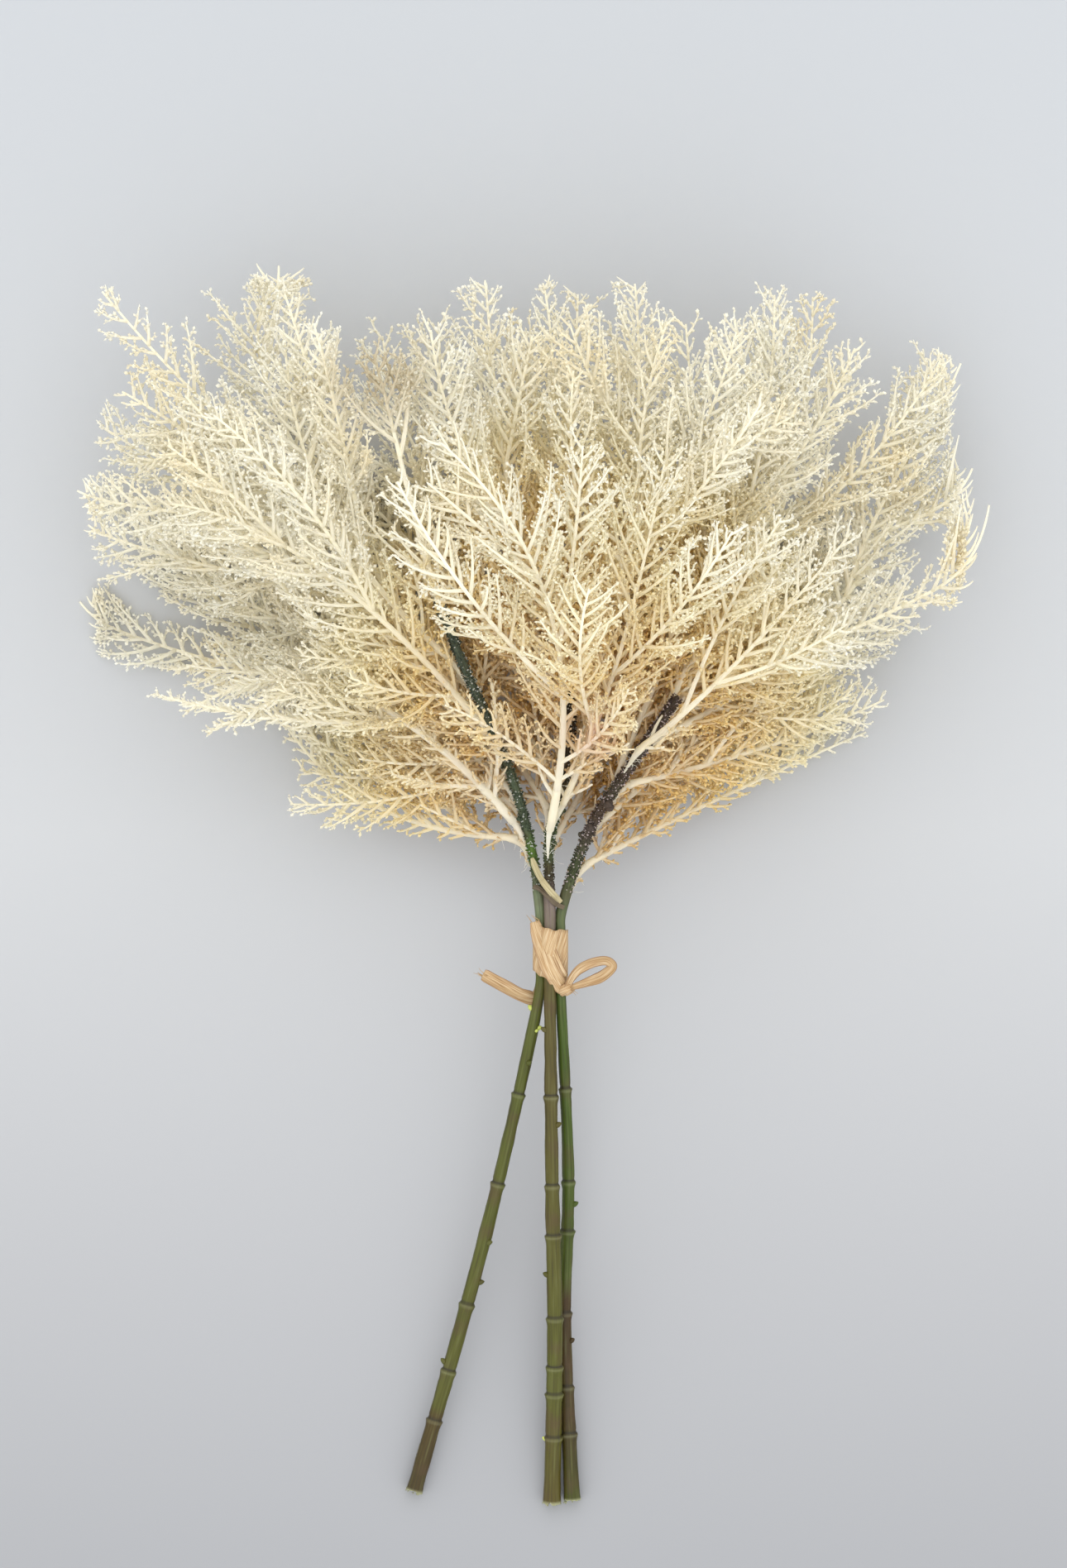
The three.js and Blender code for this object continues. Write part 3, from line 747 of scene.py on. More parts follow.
FUZZ = 26  # loose fibres at the foot of each frond
FUZZ_RADII = np.array([0.1, 0.09, 0.07, 0.04])

SHOOT_SPACING = 2.6
SHOOT_LENGTH = 33.0
SHOOT_ANGLE = 43
SHOOT_RINGS = 7
# How long the side branches are, by their place on the rib: full inside, and thin at the tip.
FULLNESS = [(0, 0.2, 0.6, 0.8, 1), (0.8, 1.05, 1.0, 0.6, 0.28)]
TOWARDS_TIPS = np.array([0, 0.22, -0.06])  # side branches bend a little this way
TUFT_SPACING, TUFT_LENGTH = 0.42, 0.34  # shares of the usual, on a tufted frond
TWIG_SPACING = 1.9
TWIG_ANGLE = 37
TWIG_LENGTH = 5.8
TWIG_RADII = np.array([0.36, 0.36, 0.2])
LEAFLET_SPACING = 0.85
LEAFLET_ANGLE = 34
LEAFLET_SIZE = 2.45
FINE_WHITE = 0.45  # side branches and what they carry are this share as white as the rib

ROOM = np.round(np.array(CAD_BOX[1]) / MM, 1)  # half width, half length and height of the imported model
# Tips begin to bend back this far inside it, and keep this much room from there.
EASE, MARGIN = 10.0, 22.0

# Where the flocked stems show between the fronds: the stem, how far above the tie the stretch
# starts and ends, and how much on each side is kept clear.
IN_SIGHT = [("left", 42, 66, 2.4), ("left", 82, 106, 3.4), ("middle", 36, 56, 2.8), ("right", 38, 94, 3.6)]


def squeeze(points):
    """Bends what would go through the floor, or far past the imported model, gently back."""
    placed = points + TIE
    for k in (0, 1):
        past = np.maximum(np.abs(placed[..., k]) - ROOM[k] + EASE, 0)
        kept = MARGIN * (1 - np.exp(-past / MARGIN))
        placed[..., k] = np.sign(placed[..., k]) * (np.minimum(np.abs(placed[..., k]), ROOM[k] - EASE) + kept)
    high = np.maximum(placed[..., 2] - ROOM[2] + EASE, 0)
    placed[..., 2] = np.minimum(placed[..., 2], ROOM[2] - EASE) + MARGIN * (1 - np.exp(-high / MARGIN)) * 0.8
    low = placed[..., 2] < 4
    placed[..., 2] = np.where(low, 4 * np.exp(np.minimum(placed[..., 2] - 4, 0) / 4), placed[..., 2])
    placed[..., 2] = np.maximum(placed[..., 2], 0.35)
    return placed - TIE


def curve_shoots(start, first, last, length, steps):
    """Lines that leave start along first and turn towards last on their way."""
    share = (np.arange(steps - 1) + 0.5) / (steps - 1)
    heading = unit(first[:, None] * (1 - share)[:, None] + last[:, None] * share[:, None])
    step = (length / (steps - 1))[:, None, None] * heading
    lines = np.concatenate([start[:, None], start[:, None] + np.cumsum(step, axis=1)], axis=1)
    return squeeze(lines)


def fork(random, along, over, side, angle, loosened):
    """Directions that leave a line on alternate sides, tilted a little out of its plane."""
    across = unit(np.cross(along, over))
    upward = np.cross(across, along)
    tilt = random.normal(0, loosened, len(along))
    outward = side[:, None] * across * np.cos(tilt)[:, None] + upward * np.sin(tilt)[:, None]
    spread = np.radians(angle + random.normal(0, 7, len(along)))
    return along * np.cos(spread)[:, None] + outward * np.sin(spread)[:, None], outward


def stations(random, lengths, spacing, first):
    """For each line, places along it as shares: which line each one is on, the share, and its side."""
    counts = np.maximum(1, (lengths * (1 - first) / spacing).astype(int))
    line = np.repeat(np.arange(len(lengths)), counts)
    order = np.arange(len(line)) - np.repeat(np.cumsum(counts) - counts, counts)
    share = first + (1 - first) * (order + 0.5 + random.uniform(-0.25, 0.25, len(line))) / counts[line]
    return line, np.clip(share, 0, 1), np.where(order % 2, 1.0, -1.0)


def at_share(points, line, share):
    """The place on each line at a share of its length, and its direction there."""
    steps = points.shape[1] - 1
    step = np.minimum((share * steps).astype(int), steps - 1)
    a, b = points[line, step], points[line, step + 1]
    return a + (b - a) * (share * steps - step)[:, None], unit(b - a)


def line_length(points):
    return np.linalg.norm(np.diff(points, axis=-2), axis=-1).sum(axis=-1)


def rib_line(start, bend, tip, steps):
    share = (np.arange(steps) / (steps - 1))[:, None]
    return start * (1 - share) ** 2 + bend * 2 * share * (1 - share) + tip * share**2


def hides_stem(points, ease):
    """Which lines pass over a stretch of stem that is in sight from above."""
    hidden = np.zeros(len(points), bool)
    for side, first, last, reach in IN_SIGHT:
        route, far, _ = ROUTES[side]
        stretch = route[(far > first) & (far < last)][::6]
        apart = points[:, :, None] - stretch
        near = np.hypot(apart[..., 0], apart[..., 1]) < reach * ease
        hidden |= (near & (apart[..., 2] > -1)).any(axis=(1, 2))
    return hidden


def ribs_of(random, start, bend, tip, style):
    """The lines of the main rib, its forks and its extra sprigs, and each one's share of full size."""
    share = np.linspace(0, 1, RIB_RINGS)[:, None]
    main = rib_line(start, bend, tip, RIB_RINGS)
    sideways = unit(np.cross(tip - start, UP)) * random.uniform(-9, 9) + UP * random.uniform(-4, 5)
    main = squeeze(main + sideways * share**3 * (1.6 - share))
    length = line_length(main)
    ribs, scale = [main], [1.0]
    forks = style["forks"]
    places = [0.2 + 0.5 * (i + random.uniform(0.2, 0.8)) / max(forks, 1) for i in range(forks)]
    rows = [(place, 32, random.uniform(0.72, 1.02), 0.72) for place in places]
    rows += [(random.uniform(0.02, 0.15), 46, random.uniform(0.24, 0.42), 0.55) for _ in range(BASAL_FORKS)]
    turned = int(random.uniform(0, 2))
    for i, (place, angle, part, size) in enumerate(rows):
        base, along = at_share(main[None], np.array([0]), np.array([place]))
        side = np.array([style["only"] or (1.0 if (i + turned) % 2 else -1.0)])
        first, _ = fork(random, along, UP[None], side, angle, 0.5)
        last = unit(first * 0.5 + along * 0.6 + random.normal(0, 0.14, (1, 3)))
        reach = np.array([length * (1 - place) * part])
        line = curve_shoots(base, first, last, reach, RIB_RINGS)
        for _ in range(SHORTENINGS):
            if hides_stem(line, 1.0)[0]:
                line = base + (line - base) * 0.75
        ribs.append(line[0])
        scale.append(size)
    for place, end in style["extra"]:
        base, along = at_share(main[None], np.array([0]), np.array([place]))
        end = np.array(end, float)
        bend = (base[0] + end) / 2 + along[0] * np.linalg.norm(end - base[0]) * 0.12
        ribs.append(squeeze(rib_line(base[0], bend, end, RIB_RINGS)))
        scale.append(0.42)
    return np.array(ribs), np.array(scale)


def foot_of(side, start, main):
    """The end of a main rib that runs down along its stem and thins out there."""
    route, far, radius = ROUTES[side]
    nearest = np.linalg.norm(route - start, axis=1).argmin()
    at = np.clip(far[nearest] - FOOT_BELOW, None, far[-1] - 1)
    out = np.interp(at, far, radius) + FOOT_OUT
    foot = places_at(at, far, route) + unit(start - route[nearest]) * out[:, None]
    return smooth_route([*foot, *main[1:4:2]], RIB_RINGS)[0]


def add_ribs(shape, ribs, scale, style):
    share = np.linspace(0, 1, RIB_RINGS)
    thick = style["rib"] * (0.35 + 0.65 * scale**2)[:, None]
    fine = RIB_TIP * 0.8
    radius = fine + (thick - fine) * (1 - share**0.85)[None]
    radius[1] = style["rib"] * np.interp(share, *FOOT_RADIUS)
    add_tubes(shape, ribs, radius, RIB_SIDES, UP, white=style["white"])


def add_fuzz(shape, random, foot):
    """Loose fibres of flock where the foot meets the stem."""
    spots = foot[random.integers(1, len(foot), FUZZ)]
    way = unit(random.normal(0, 1, spots.shape))
    curl = unit(way + random.normal(0, 0.6, spots.shape))
    lines = curve_shoots(spots, way, curl, random.uniform(1.5, 5.0, FUZZ), len(FUZZ_RADII))
    add_tubes(shape, lines, np.tile(FUZZ_RADII, (FUZZ, 1)), 3, UP, white=0.9)


def add_shoots(shape, random, ribs, scale, size, style, white):
    """Side branches on the ribs. Gives their lines, lengths and planes, and which may cross a stem."""
    tufted = style["tufted"]
    spacing = SHOOT_SPACING * style["apart"] * (TUFT_SPACING if tufted else 1)
    rib, place, side = stations(random, line_length(ribs), spacing, style["bare"])
    base, along = at_share(ribs, rib, place)
    over = np.broadcast_to(UP, along.shape)
    first, outward = fork(random, along, over, side, SHOOT_ANGLE, 1.0 if tufted else 0.45)
    fullness = np.interp(place, *FULLNESS)
    full = SHOOT_LENGTH * size * scale[rib] * (TUFT_LENGTH if tufted else 1)
    full *= np.where(side > 0, style["right"], style["left"])
    reach = full * fullness * random.uniform(0.5, 1.15, len(place))
    last = unit(first * 0.7 + along * 0.5 + random.normal(0, 0.15, first.shape) + TOWARDS_TIPS)
    lines = curve_shoots(base, first, last, reach, SHOOT_RINGS)
    plane = unit(np.cross(outward, along) * -side[:, None])
    crossing = rib >= len(ribs) - len(style["extra"])
    seen = crossing | ~hides_stem(lines, 0.55)
    lines, reach, plane, crossing, fullness = (v[seen] for v in (lines, reach, plane, crossing, fullness))
    share = np.linspace(0, 1, SHOOT_RINGS)
    radius = (0.5 * (1 - share) + 0.22) * (0.6 + 0.4 * fullness)[:, None]
    add_tubes(shape, lines, radius, 5, plane[:, None], kind=0.4, white=white)
    return lines, reach, plane, crossing


def add_twigs(shape, random, shoots, reach, plane, crossing, white):
    """Twigs on the side branches. Gives their lines, lengths and planes."""
    shoot, place, side = stations(random, reach, TWIG_SPACING, 0.08)
    base, along = at_share(shoots, shoot, place)
    first, outward = fork(random, along, plane[shoot], side, TWIG_ANGLE, 0.45)
    fullness = np.clip(1 - place, 0, 1) ** 0.6 * 0.78 + 0.22
    room = np.clip(reach[shoot] / 16, 0.45, 1)
    length = TWIG_LENGTH * fullness * room * random.uniform(0.45, 1.1, len(shoot))
    last = unit(first + along * 0.5 + random.normal(0, 0.16, first.shape))
    lines = curve_shoots(base, first, last, length, len(TWIG_RADII))
    plane = unit(np.cross(outward, along) * -side[:, None])
    seen = crossing[shoot] | ~hides_stem(lines, 1.0)
    lines, length, plane = lines[seen], length[seen], plane[seen]
    add_tubes(shape, lines, np.tile(TWIG_RADII, (len(lines), 1)), 3, plane[:, None], kind=0.75, white=white)
    return lines, length, plane


def add_foliage(shape, random, twigs, length, plane, white):
    """Leaflets on the twigs."""
    chance = random.uniform(0, 1, len(twigs))
    twig, place, side = stations(random, length, LEAFLET_SPACING, 0.1)
    base, along = at_share(twigs, twig, place)
    along, _ = fork(random, along, plane[twig], side, LEAFLET_ANGLE, 0.8)
    over = unit(plane[twig] + random.normal(0, 0.6, base.shape))
    size = LEAFLET_SIZE * (1 - 0.3 * place) * random.uniform(0.6, 1.15, len(twig))
    tags = {"kind": 1, "chance": chance[twig], "white": white}
    add_leaflets(shape, base, along, over, size, size * 0.3, size * 0.2, **tags)


def frond_shape(random, stem, start, bend, tip, size, style):
    """A frond: its foot and ribs, the side branches on them, their twigs, and the twigs' leaflets."""
    shape = Shape(kind=0, chance=0.5, white=0)
    ribs, scale = ribs_of(random, start, bend, tip, style)
    foot = foot_of(stem, start, ribs[0])
    ribs, scale = np.insert(ribs, 1, foot, axis=0), np.insert(scale, 1, FOOT_SCALE)
    add_fuzz(shape, random, foot)
    add_ribs(shape, ribs, scale, style)
    white = style["white"] * FINE_WHITE
    shoots, reach, plane, crossing = add_shoots(shape, random, ribs, scale, size, style, white)
    twigs, length, plane = add_twigs(shape, random, shoots, reach, plane, crossing, white)
    add_foliage(shape, random, twigs, length, plane, white)
    return shape


def frond_start(name, tip):
    """The end of a frond's CAD node that is on its stem, furthest from its tip."""
    points = node_points(name) - TIE
    return end_ring(points, np.linalg.norm(points - tip, axis=1), 4)


def add_bake_map(piece, corners, loops, upper):
    """A flat map from above, with the fine parts on the upper half and the rest on the lower."""
    low, high = corners.min(axis=0), corners.max(axis=0)
    flat = (corners - low) / np.maximum(high - low, 1e-6)
    uv = np.stack([0.01 + 0.98 * flat[:, 0], 0.005 + 0.5 * upper + 0.49 * flat[:, 1]], axis=1)
    layer = piece.data.uv_layers.new(name="OFBake")
    layer.data.foreach_set("uv", uv[loops].astype(np.float32).ravel())


def place_piece(piece, node):
    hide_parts(node)
    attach(piece, "root")


def add_frond(side, number, bend, tip, size, seed, material):
    node = f"frond_{side}_{number}"
    random = np.random.default_rng(seed)
    end = in_head(tip)
    end[2] = max(end[2], RIB_TIP)
    style = USUAL | STYLES.get(f"{side}_{number}", {})
    shape = frond_shape(random, side, frond_start(node, end), in_head(bend), end, size / 100, style)
    shape.keep_above(0.1)
    piece, corners, loops = shape.build(f"{side}_frond_{number}", material)
    add_bake_map(piece, corners, loops, np.concatenate(shape.tags["kind"]) > 0.9)
    place_piece(piece, node)


# Frond material.

# Painted light and shade on the flock, from the outside of the head to its deep middle: pale outside where
# the light reaches, and ochre deeper in as painted shade for light that dims as it scatters through the head.
FLOCK_LIGHT_AND_SHADE = [
    (0.0, (0.98, 0.96, 0.885)),
    (0.2, (0.98, 0.935, 0.76)),
    (0.5, (0.95, 0.81, 0.46)),
    (1.0, (0.82, 0.58, 0.22)),
]
CORE = np.array([8.0, 76.0, 33.0])  # the deep middle of the head, where the painted shade is deepest
CORE_SHAPE = np.array([1.6, 1.35, 1.8])  # how much a distance to it counts along each axis
SHADE_BETWEEN_STEMS = np.array([1.0, 42.0, 30.0])  # between the stems, where the flock is darkest: painted shade between the stems
BLUSH = np.array([15.0, 70.0, 62.0])  # a pinkish place on the middle fronds
TAWNY = np.array([-54.0, 182.0, 82.0])  # the dry tip of the tallest frond on the left
LET_THROUGH = 0.68  # the share of light that goes through the flock


def frond_material():
    """Matt flock that lets light through: ochre deep in the head and between the stems as painted shade, pale
    outside as painted light, and pale on the ribs.
    """
    paint = Paint("frond")
    where = paint.where()
    shaped = paint.scaled(where, tuple(CORE_SHAPE))
    # Painted light and shade: pale on the outside of the head, ochre towards its deep middle.
    colour = paint.ramp(paint.near(shaped, (CORE + TIE) * CORE_SHAPE, 0.03, 0.15), FLOCK_LIGHT_AND_SHADE)
    blotches = paint.span(paint.noise(where, 45), 0.42, 0.68, 0.5)
    colour = paint.tint(blotches, colour, (0.975, 0.925, 0.78))
    warm = paint.span(paint.noise(where, 26, 2.0), 0.5, 0.72, 0.3)
    colour = paint.tint(warm, colour, (0.96, 0.83, 0.50))
    some_twigs = paint.span(paint.tag("chance"), 0.6, 1.0, 0.5)
    colour = paint.tint(some_twigs, colour, (0.97, 0.92, 0.78))
    # Painted shade: ochre between the stems.
    colour = paint.tint(paint.near(where, SHADE_BETWEEN_STEMS + TIE, 0.008, 0.034, 0.75), colour, (0.66, 0.44, 0.17))
    ribs = paint.span(paint.tag("kind"), 0.75, 0.0, 0.9)
    colour = paint.tint(ribs, colour, (0.975, 0.94, 0.82))
    colour = paint.tint(paint.tag("white"), colour, (0.98, 0.95, 0.85))
    colour = paint.tint(paint.near(where, BLUSH + TIE, 0.002, 0.013, 0.36), colour, (0.93, 0.66, 0.52))
    colour = paint.tint(paint.near(where, TAWNY + TIE, 0.005, 0.02, 0.6), colour, (0.66, 0.56, 0.36))
    paint.shader.inputs["Roughness"].default_value = 0.95
    through = paint.nodes.new("ShaderNodeBsdfTranslucent")
    paint.link(colour, through.inputs["Color"])
    both = paint.nodes.new("ShaderNodeMixShader")
    both.inputs["Fac"].default_value = LET_THROUGH
    paint.link(paint.shader.outputs["BSDF"], both.inputs[1])
    paint.link(through.outputs["BSDF"], both.inputs[2])
    paint.link(both.outputs["Shader"], paint.nodes["Material Output"].inputs["Surface"])
    return paint.finish(colour, 0.1)


def add_fronds():
    material = frond_material()
    seed = 0
    for side, rows in FRONDS.items():
        for number, (bend, tip, size) in enumerate(rows, 1):
            seed += 1
            add_frond(side, number, bend, tip, size, seed, material)


# Raffia.

GAP_TO_STEM = 0.3
BAND = (-6.4, 7.8)  # where the band round the stems starts and ends, from the tie
BAND_THICKNESS = 0.45
BAND_SLANT = 6.6  # its lower edge drops this much from the left side to the right
# Places of the strips over the stems, seen from above.
CROSSING = [(-4.9, 9.2), (-3.9, 5.4), (-2.2, 0.2), (0.2, -6.0), (3.2, -11.2), (5.4, -13.8)]
UPPER_WRAP = [(-5.8, 29.6), (-4.8, 26.8), (-2.8, 22.8), (0.4, 18.6), (3.6, 15.4)]
# The last line is a painted shadow: a thin dark strip where the upper wrap's shadow falls on the stems.
WRAP_SHADOW_LINE = [(-5.4, 20.4), (-3.6, 19.8), (-0.8, 17.4), (1.8, 14.9), (4.6, 13.6)]
KNOT = np.array([5.2, -12.4])
KNOT_TURNS = [(25, 1.0), (112, 0.82)]  # the angle and the size of its two turns
# The loop's places from the knot, and the flat end's from the tie.
LOOP = [
    *((0, 0, 0), (1.6, 3.6, 0.8), (4.2, 6.6, 1.2), (8.8, 8.8, 1.4), (13.2, 9.2, 1.4)),
    *((15.0, 7.4, 1.4), (11.8, 4.0, 1.0), (6.2, 1.8, 0.8), (1.2, 0.2, 0)),
]
TAIL = [
    *((-2.4, -5, 24.9), (-2.6, -11.5, 23.6), (-4.6, -15.6, 23.8)),
    *((-8.6, -15.0, 25.0), (-14.4, -12.0, 26.8), (-21.6, -8.0, 28.4)),
]
# Widths of the strips: shares of their length, and the width there.
CROSSING_WIDTH = [(0, 0.12, 0.55, 0.9, 1), (3.0, 4.6, 6.0, 5.0, 3.4)]
LOOP_WIDTH = [(0, 0.25, 0.5, 0.75, 1), (2.2, 4.0, 3.8, 4.2, 2.0)]
TAIL_WIDTH = [(0, 0.25, 0.6, 0.97, 1), (3.2, 4.4, 4.5, 4.3, 3.7)]
WRAP_WIDTH = [(0, 0.1, 0.8, 1), (1.0, 2.0, 2.2, 1.5)]
STRIP_RINGS, LOOP_RINGS, KNOT_RINGS = 70, 90, 24
STRIP_ACROSS = 15  # corners across the upper side of a strip
# The pale tone is the upper strip's own colour; the dark tone is a painted shadow.
PALE_TONE, SHADOW_TONE = 0.6, 1.0
HAIR_RADII = np.array([0.16, 0.14, 0.12, 0.09, 0.07, 0.04])


def tapered(widths, count):
    return np.interp(np.linspace(0, 1, count), *widths)


def above_stems(x, y, clear):
    """The height of the stems' upper side, plus a clearance, at places seen from above."""
    heights = []
    for route, past, radius in ROUTES.values():
        far = np.interp(y, route[:, 1], past)
        middle = places_at(far, past, route)
        reach = np.interp(far, past, radius) + clear
        heights.append(middle[..., 2] + np.sqrt(np.clip(reach**2 - (x - middle[..., 0]) ** 2, 0, None)))
    return np.max(heights, axis=0)


def add_ribbon(shape, random, line, over, width, cup=0.0, thickness=0.42, ridge=0.1, tone=0.0):
    """A strip of raffia: a flat closed body with folds along it and uneven edges."""
    rings = len(line)
    along = unit(np.gradient(line, axis=0))
    across = unit(np.cross(along, over))
    over = np.cross(across, along)
    u = np.linspace(-1, 1, STRIP_ACROSS)
    far = distances(line)
    a, b, c = random.uniform(0, 6, 3)
    folds = ridge * (np.sin(4.1 * u + a) + 0.3 * np.sin(9 * u + b) + 0.12 * np.sin(17 * u + c))
    wobble = np.interp(far, np.linspace(0, far[-1], 14), random.normal(0, 0.035, 14))
    half = width / 2 * (1 + wobble)
    rise = folds[None] * (0.8 + 0.4 * np.sin(far / 5 + a))[:, None] + cup * half[:, None] * u[None] ** 2
    thick = thickness * np.sqrt(np.clip(1 - u**2, 0.12, 1))
    sideways = across[:, None] * (half[:, None] * u)[..., None]
    top = line[:, None] + sideways + over[:, None] * rise[..., None]
    bottom = top - over[:, None] * thick[None, :, None]
    corners = np.concatenate([top, bottom[:, ::-1]], axis=1)
    sides = corners.shape[1]
    round_strip = np.concatenate([u, u[::-1]])
    spread = {
        "aside": (half[:, None] * round_strip[None]).ravel() + random.uniform(0, 50),
        "far": np.repeat(far, sides),
        "edge": np.tile(np.abs(round_strip) ** 5, rings),
        "tone": tone,
    }
    shape.add(corners, [f[:, ::-1] for f in tube_faces(1, rings, sides)], **spread)


def over_stems(places, clear, width):
    """A line over the stems through places seen from above."""
    flat, _ = smooth_route([(x, y, 0) for x, y in places], STRIP_RINGS)
    asides = (-width / 3, 0, width / 3)
    heights = [above_stems(flat[:, 0] + aside, flat[:, 1], clear) for aside in asides]
    height = np.mean(heights, axis=0)
    height = np.convolve(np.pad(height, 4, mode="edge"), np.ones(9) / 9, mode="valid")
    flat[:, 2] = np.maximum(height, above_stems(flat[:, 0], flat[:, 1], clear))
    return flat


def outline(offset, count):
    """The line that hugs the three stems at the tie, a given distance out, evenly spaced."""
    turn = np.linspace(0, 2 * math.pi, 72, endpoint=False)
    ways = np.stack([np.cos(turn), np.sin(turn)], axis=1)
    rounds = [tie_place(s)[[0, 2]] + ways * (STEMS[s]["diameter"][0] / 2 + offset) for s in STEMS]
    points = np.concatenate(rounds)
    hull = points[(points @ ways.T).argmax(axis=0)]
    closed = np.vstack([hull, hull[:1]])
    far = distances(closed)
    return places_at(np.linspace(0, far[-1], count, endpoint=False), far, closed), far[-1]


def add_wrap(shape, random, low, high, inner, outer, slant):
    """A closed band of raffia round the stems, between two heights along them that slant across."""
    count, steps = 96, 12
    inside, _ = outline(inner, count)
    outside, around = outline(outer, count)
    share = np.linspace(0, 1, steps)
    a, b, c, d = random.uniform(0, 6, 4)
    turn = np.arange(count) / count * 2 * math.pi
    edge = 0.3 * np.sin(3 * turn + a) + 0.2 * np.sin(7 * turn + b)
    fold = 0.1 * np.sin(7 * turn[:, None] + 2.2 * share + c) + 0.04 * np.sin(17 * turn[:, None] + d)
    out = unit(outside - outside.mean(axis=0))
    tilt = slant * np.clip((outside[:, 0] + 6) / 12, 0, 1)
    bottom, top = low - tilt + edge, high - 0.25 * tilt - edge
    y = bottom[:, None] + (top - bottom)[:, None] * share
    belly = 0.1 * np.sin(math.pi * share)
    outer_x = outside[:, None] + out[:, None] * (fold + belly)[..., None]
    inner_x = np.broadcast_to(inside[:, None], outer_x.shape)
    loop = np.concatenate([outer_x, inner_x[:, ::-1]], axis=1)
    loop_y = np.concatenate([y, y[:, ::-1]], axis=1)
    corners = np.stack([loop[..., 0], loop_y, loop[..., 1]], axis=-1)
    sides = 2 * steps
    a = (np.arange(count) * sides)[:, None] + np.arange(sides)[None]
    b = (np.arange(count) * sides)[:, None] + (np.arange(sides) + 1)[None] % sides
    c, d = np.roll(a, -1, axis=0), np.roll(b, -1, axis=0)
    faces = np.stack([a, b, d, c], axis=-1).reshape(-1, 4)
    aside = np.repeat(turn / (2 * math.pi) * around, sides) + 0.3 * loop_y.ravel()
    shape.add(corners, [faces], aside=aside, far=loop_y.ravel())


def add_hair(shape, random, place, way, count, length):
    """Loose fibres at an end of the raffia."""
    base = np.array(place) + random.normal(0, 0.7, (count, 3)) * (1, 1, 0.2)
    first = unit(np.array(way) + random.normal(0, 0.35, (count, 3)))
    last = unit(first + random.normal(0, 0.5, (count, 3)))
    lines = curve_shoots(base, first, last, length * random.uniform(0.4, 1, count), len(HAIR_RADII))
    add_tubes(shape, lines, np.tile(HAIR_RADII, (count, 1)), 4, UP, aside=0.3, far=3)


def add_knot(shape, random, centre):
    """Two short turns of the strip over one another."""
    bow = np.linspace(-1, 1, KNOT_RINGS)
    for turned, size in KNOT_TURNS:
        way = np.array([math.cos(math.radians(turned)), math.sin(math.radians(turned)), 0])
        rise = (1.9 - 1.3 * (1 - size)) * np.cos(bow * 1.5) - 0.7
        line = centre + way * (bow * 2.7 * size)[:, None] + UP * rise[:, None]
        add_ribbon(shape, random, line, UP, np.full(KNOT_RINGS, 3.4 * size), cup=-0.35, thickness=0.9)


def add_tie(random, material):
    shape = Shape(aside=0, far=0, edge=0, tone=0)
    add_wrap(shape, random, *BAND, GAP_TO_STEM, GAP_TO_STEM + BAND_THICKNESS, BAND_SLANT)
    crossing = over_stems(CROSSING, 1.15, 5.4)
    widths = tapered(CROSSING_WIDTH, STRIP_RINGS)
    add_ribbon(shape, random, crossing, UP, widths, cup=-0.1, ridge=0.06)
    # A second, narrower strip lies beside the middle of the first.
    beside = slice(14, 58)
    second = (crossing + (1.9, 1.6, -0.35))[beside]
    add_ribbon(shape, random, second, UP, widths[beside] * 0.62, cup=-0.05, ridge=0.05)
    centre = np.array([*KNOT, float(above_stems(KNOT[0], KNOT[1], 1.2)) + 0.9])
    add_knot(shape, random, centre)
    loop = smooth_route(LOOP, LOOP_RINGS)[0] + centre
    sideways = unit(np.cross(np.gradient(loop, axis=0), UP))
    leaning = unit(sideways * 0.6 + UP * 0.85)
    widths = tapered(LOOP_WIDTH, LOOP_RINGS)
    add_ribbon(shape, random, loop, leaning, widths, cup=0.25, thickness=0.34, ridge=0.07)
    tail = smooth_route(TAIL, STRIP_RINGS)[0]
    leaning = unit(UP + np.array([0.15, 0.35, 0]))
    widths = tapered(TAIL_WIDTH, STRIP_RINGS)
    add_ribbon(shape, random, tail, leaning, widths, cup=0.3, thickness=0.34, ridge=0.09)
    add_hair(shape, random, tail[-3], tail[-1] - tail[-8], 5, 4.0)
    add_hair(shape, random, centre + (1, 1, 0.5), (0.4, -0.8, 0.2), 4, 4.5)
    add_hair(shape, random, crossing[2], (-0.5, 0.9, 0.1), 3, 3.5)
    piece, _, _ = shape.build("raffia_bow", material)
    place_piece(piece, "raffia_tie")


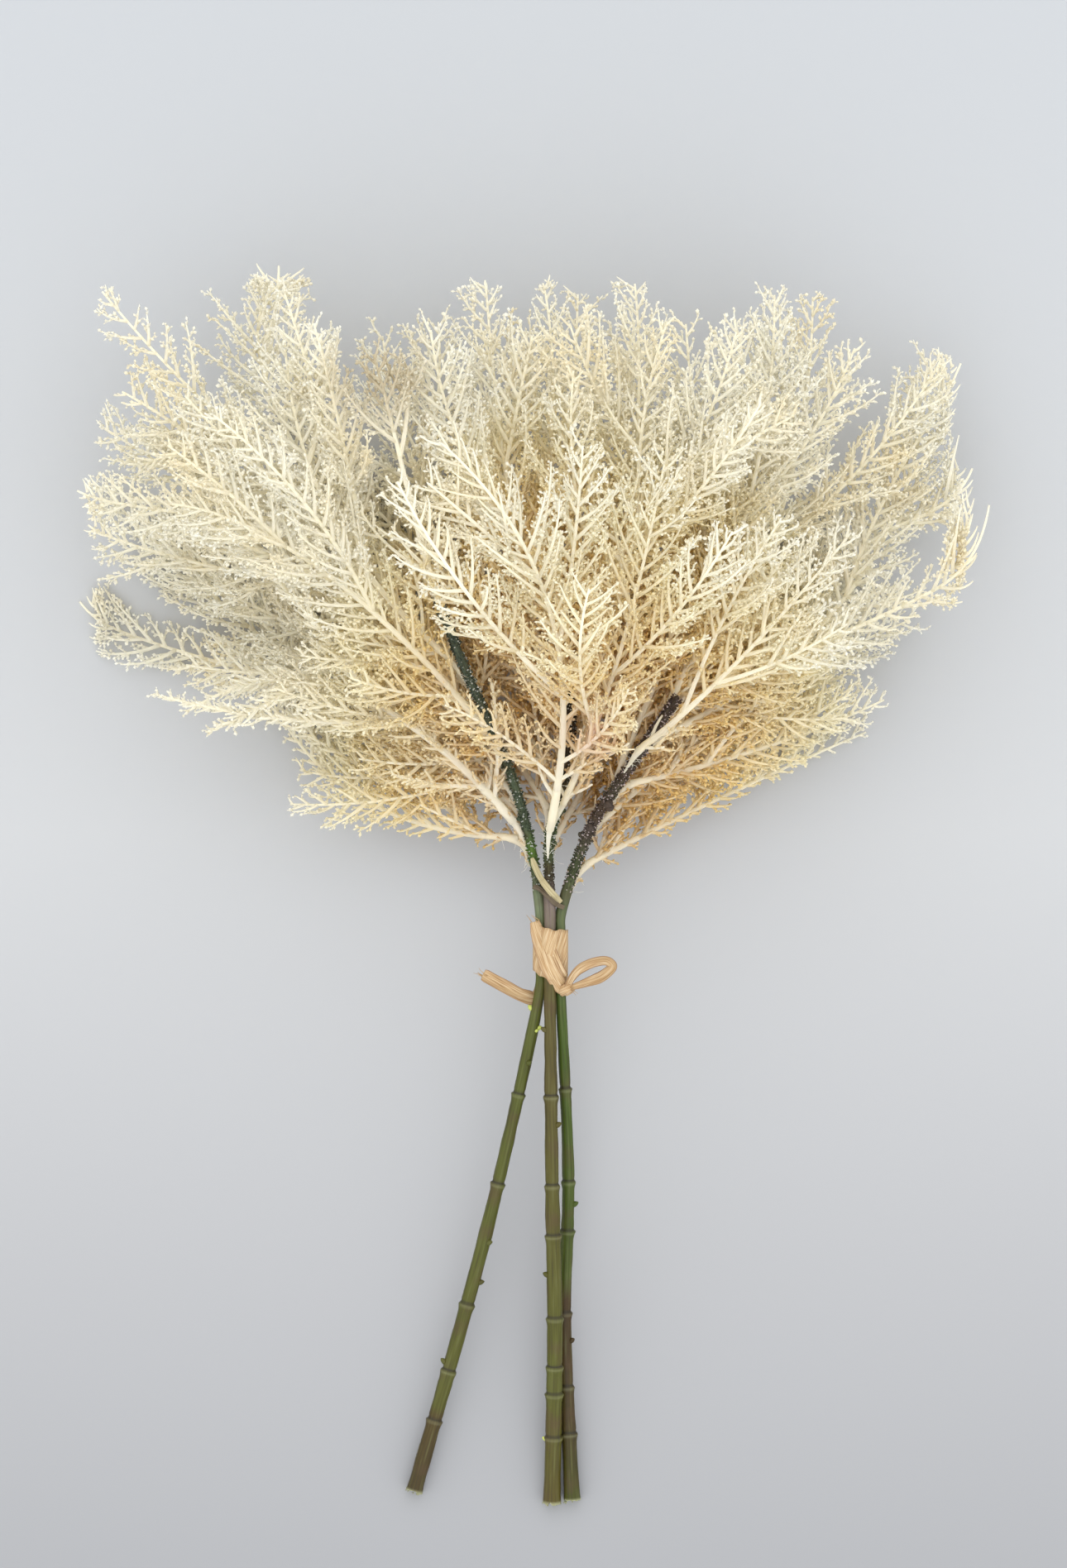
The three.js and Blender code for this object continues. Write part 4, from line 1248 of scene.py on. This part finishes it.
def add_upper_wrap(random, material):
    """A pale strip above the tie, and under it a thin dark strip that is its painted shadow on the stems."""
    shape = Shape(aside=0, far=0, edge=0, tone=0)
    wrap = over_stems(UPPER_WRAP, 0.75, 2.4)
    add_ribbon(shape, random, wrap, UP, tapered(WRAP_WIDTH, STRIP_RINGS), cup=0.15, tone=PALE_TONE)
    # Painted shadow: a thin dark strip where the pale strip's shadow falls.
    under = over_stems(WRAP_SHADOW_LINE, 0.75, 1.6)
    widths = np.full(STRIP_RINGS, 1.5)
    add_ribbon(shape, random, under, UP, widths, cup=0.1, thickness=0.3, tone=SHADOW_TONE)
    piece, _, _ = shape.build("raffia_strip", material)
    place_piece(piece, "raffia_wrap")


def add_raffia():
    random = np.random.default_rng(7)
    material = raffia_material()
    add_tie(random, material)
    add_upper_wrap(random, material)


# The grain's colours, from the dark cracks to the pale ridges.
STRAW_COLOURS = [
    (0.32, (0.17, 0.085, 0.035)),
    (0.43, (0.40, 0.25, 0.11)),
    (0.56, (0.50, 0.36, 0.205)),
    (0.72, (0.62, 0.49, 0.32)),
]


def raffia_material():
    """Dry straw strip: a fine grain along it, darker in patches, darker at the edges partly as painted shade,
    and a dark tone that is a painted shadow.
    """
    paint = Paint("raffia")
    grain = paint.combine(paint.tag("aside"), paint.tag("far"))
    fine = paint.noise(paint.scaled(grain, (3.6, 0.10, 1)), 1.0, 5.0)
    colour = paint.ramp(fine, STRAW_COLOURS)
    broad = paint.noise(paint.scaled(grain, (0.55, 0.12, 1)), 1.0, 2.0)
    colour = paint.tint(paint.span(broad, 0.5, 0.72, 0.6), colour, (0.36, 0.21, 0.095))
    # The straw's own brown edges, deepened with painted shade where the strip turns away from the light.
    colour = paint.tint(paint.span(paint.tag("edge"), 0, 1, 0.7), colour, (0.22, 0.11, 0.05))
    tone = paint.tag("tone")
    colour = paint.tint(paint.span(tone, 0, PALE_TONE, 0.55), colour, (0.34, 0.34, 0.19))
    # Painted shadow: the dark tone.
    colour = paint.tint(paint.span(tone, PALE_TONE, SHADOW_TONE, 0.85), colour, (0.055, 0.034, 0.022))
    paint.shader.inputs["Roughness"].default_value = 0.62
    bump = paint.nodes.new("ShaderNodeBump")
    bump.inputs["Strength"].default_value = 0.35
    bump.inputs["Distance"].default_value = 0.0002
    paint.link(fine, bump.inputs["Height"])
    paint.link(bump.outputs["Normal"], paint.shader.inputs["Normal"])
    return paint.finish(colour, 0.3)


add_camera()
add_floor()
add_lights()
add_fronds()
for seed, side in enumerate(STEMS, 101):
    add_stem(side, seed)
add_raffia()
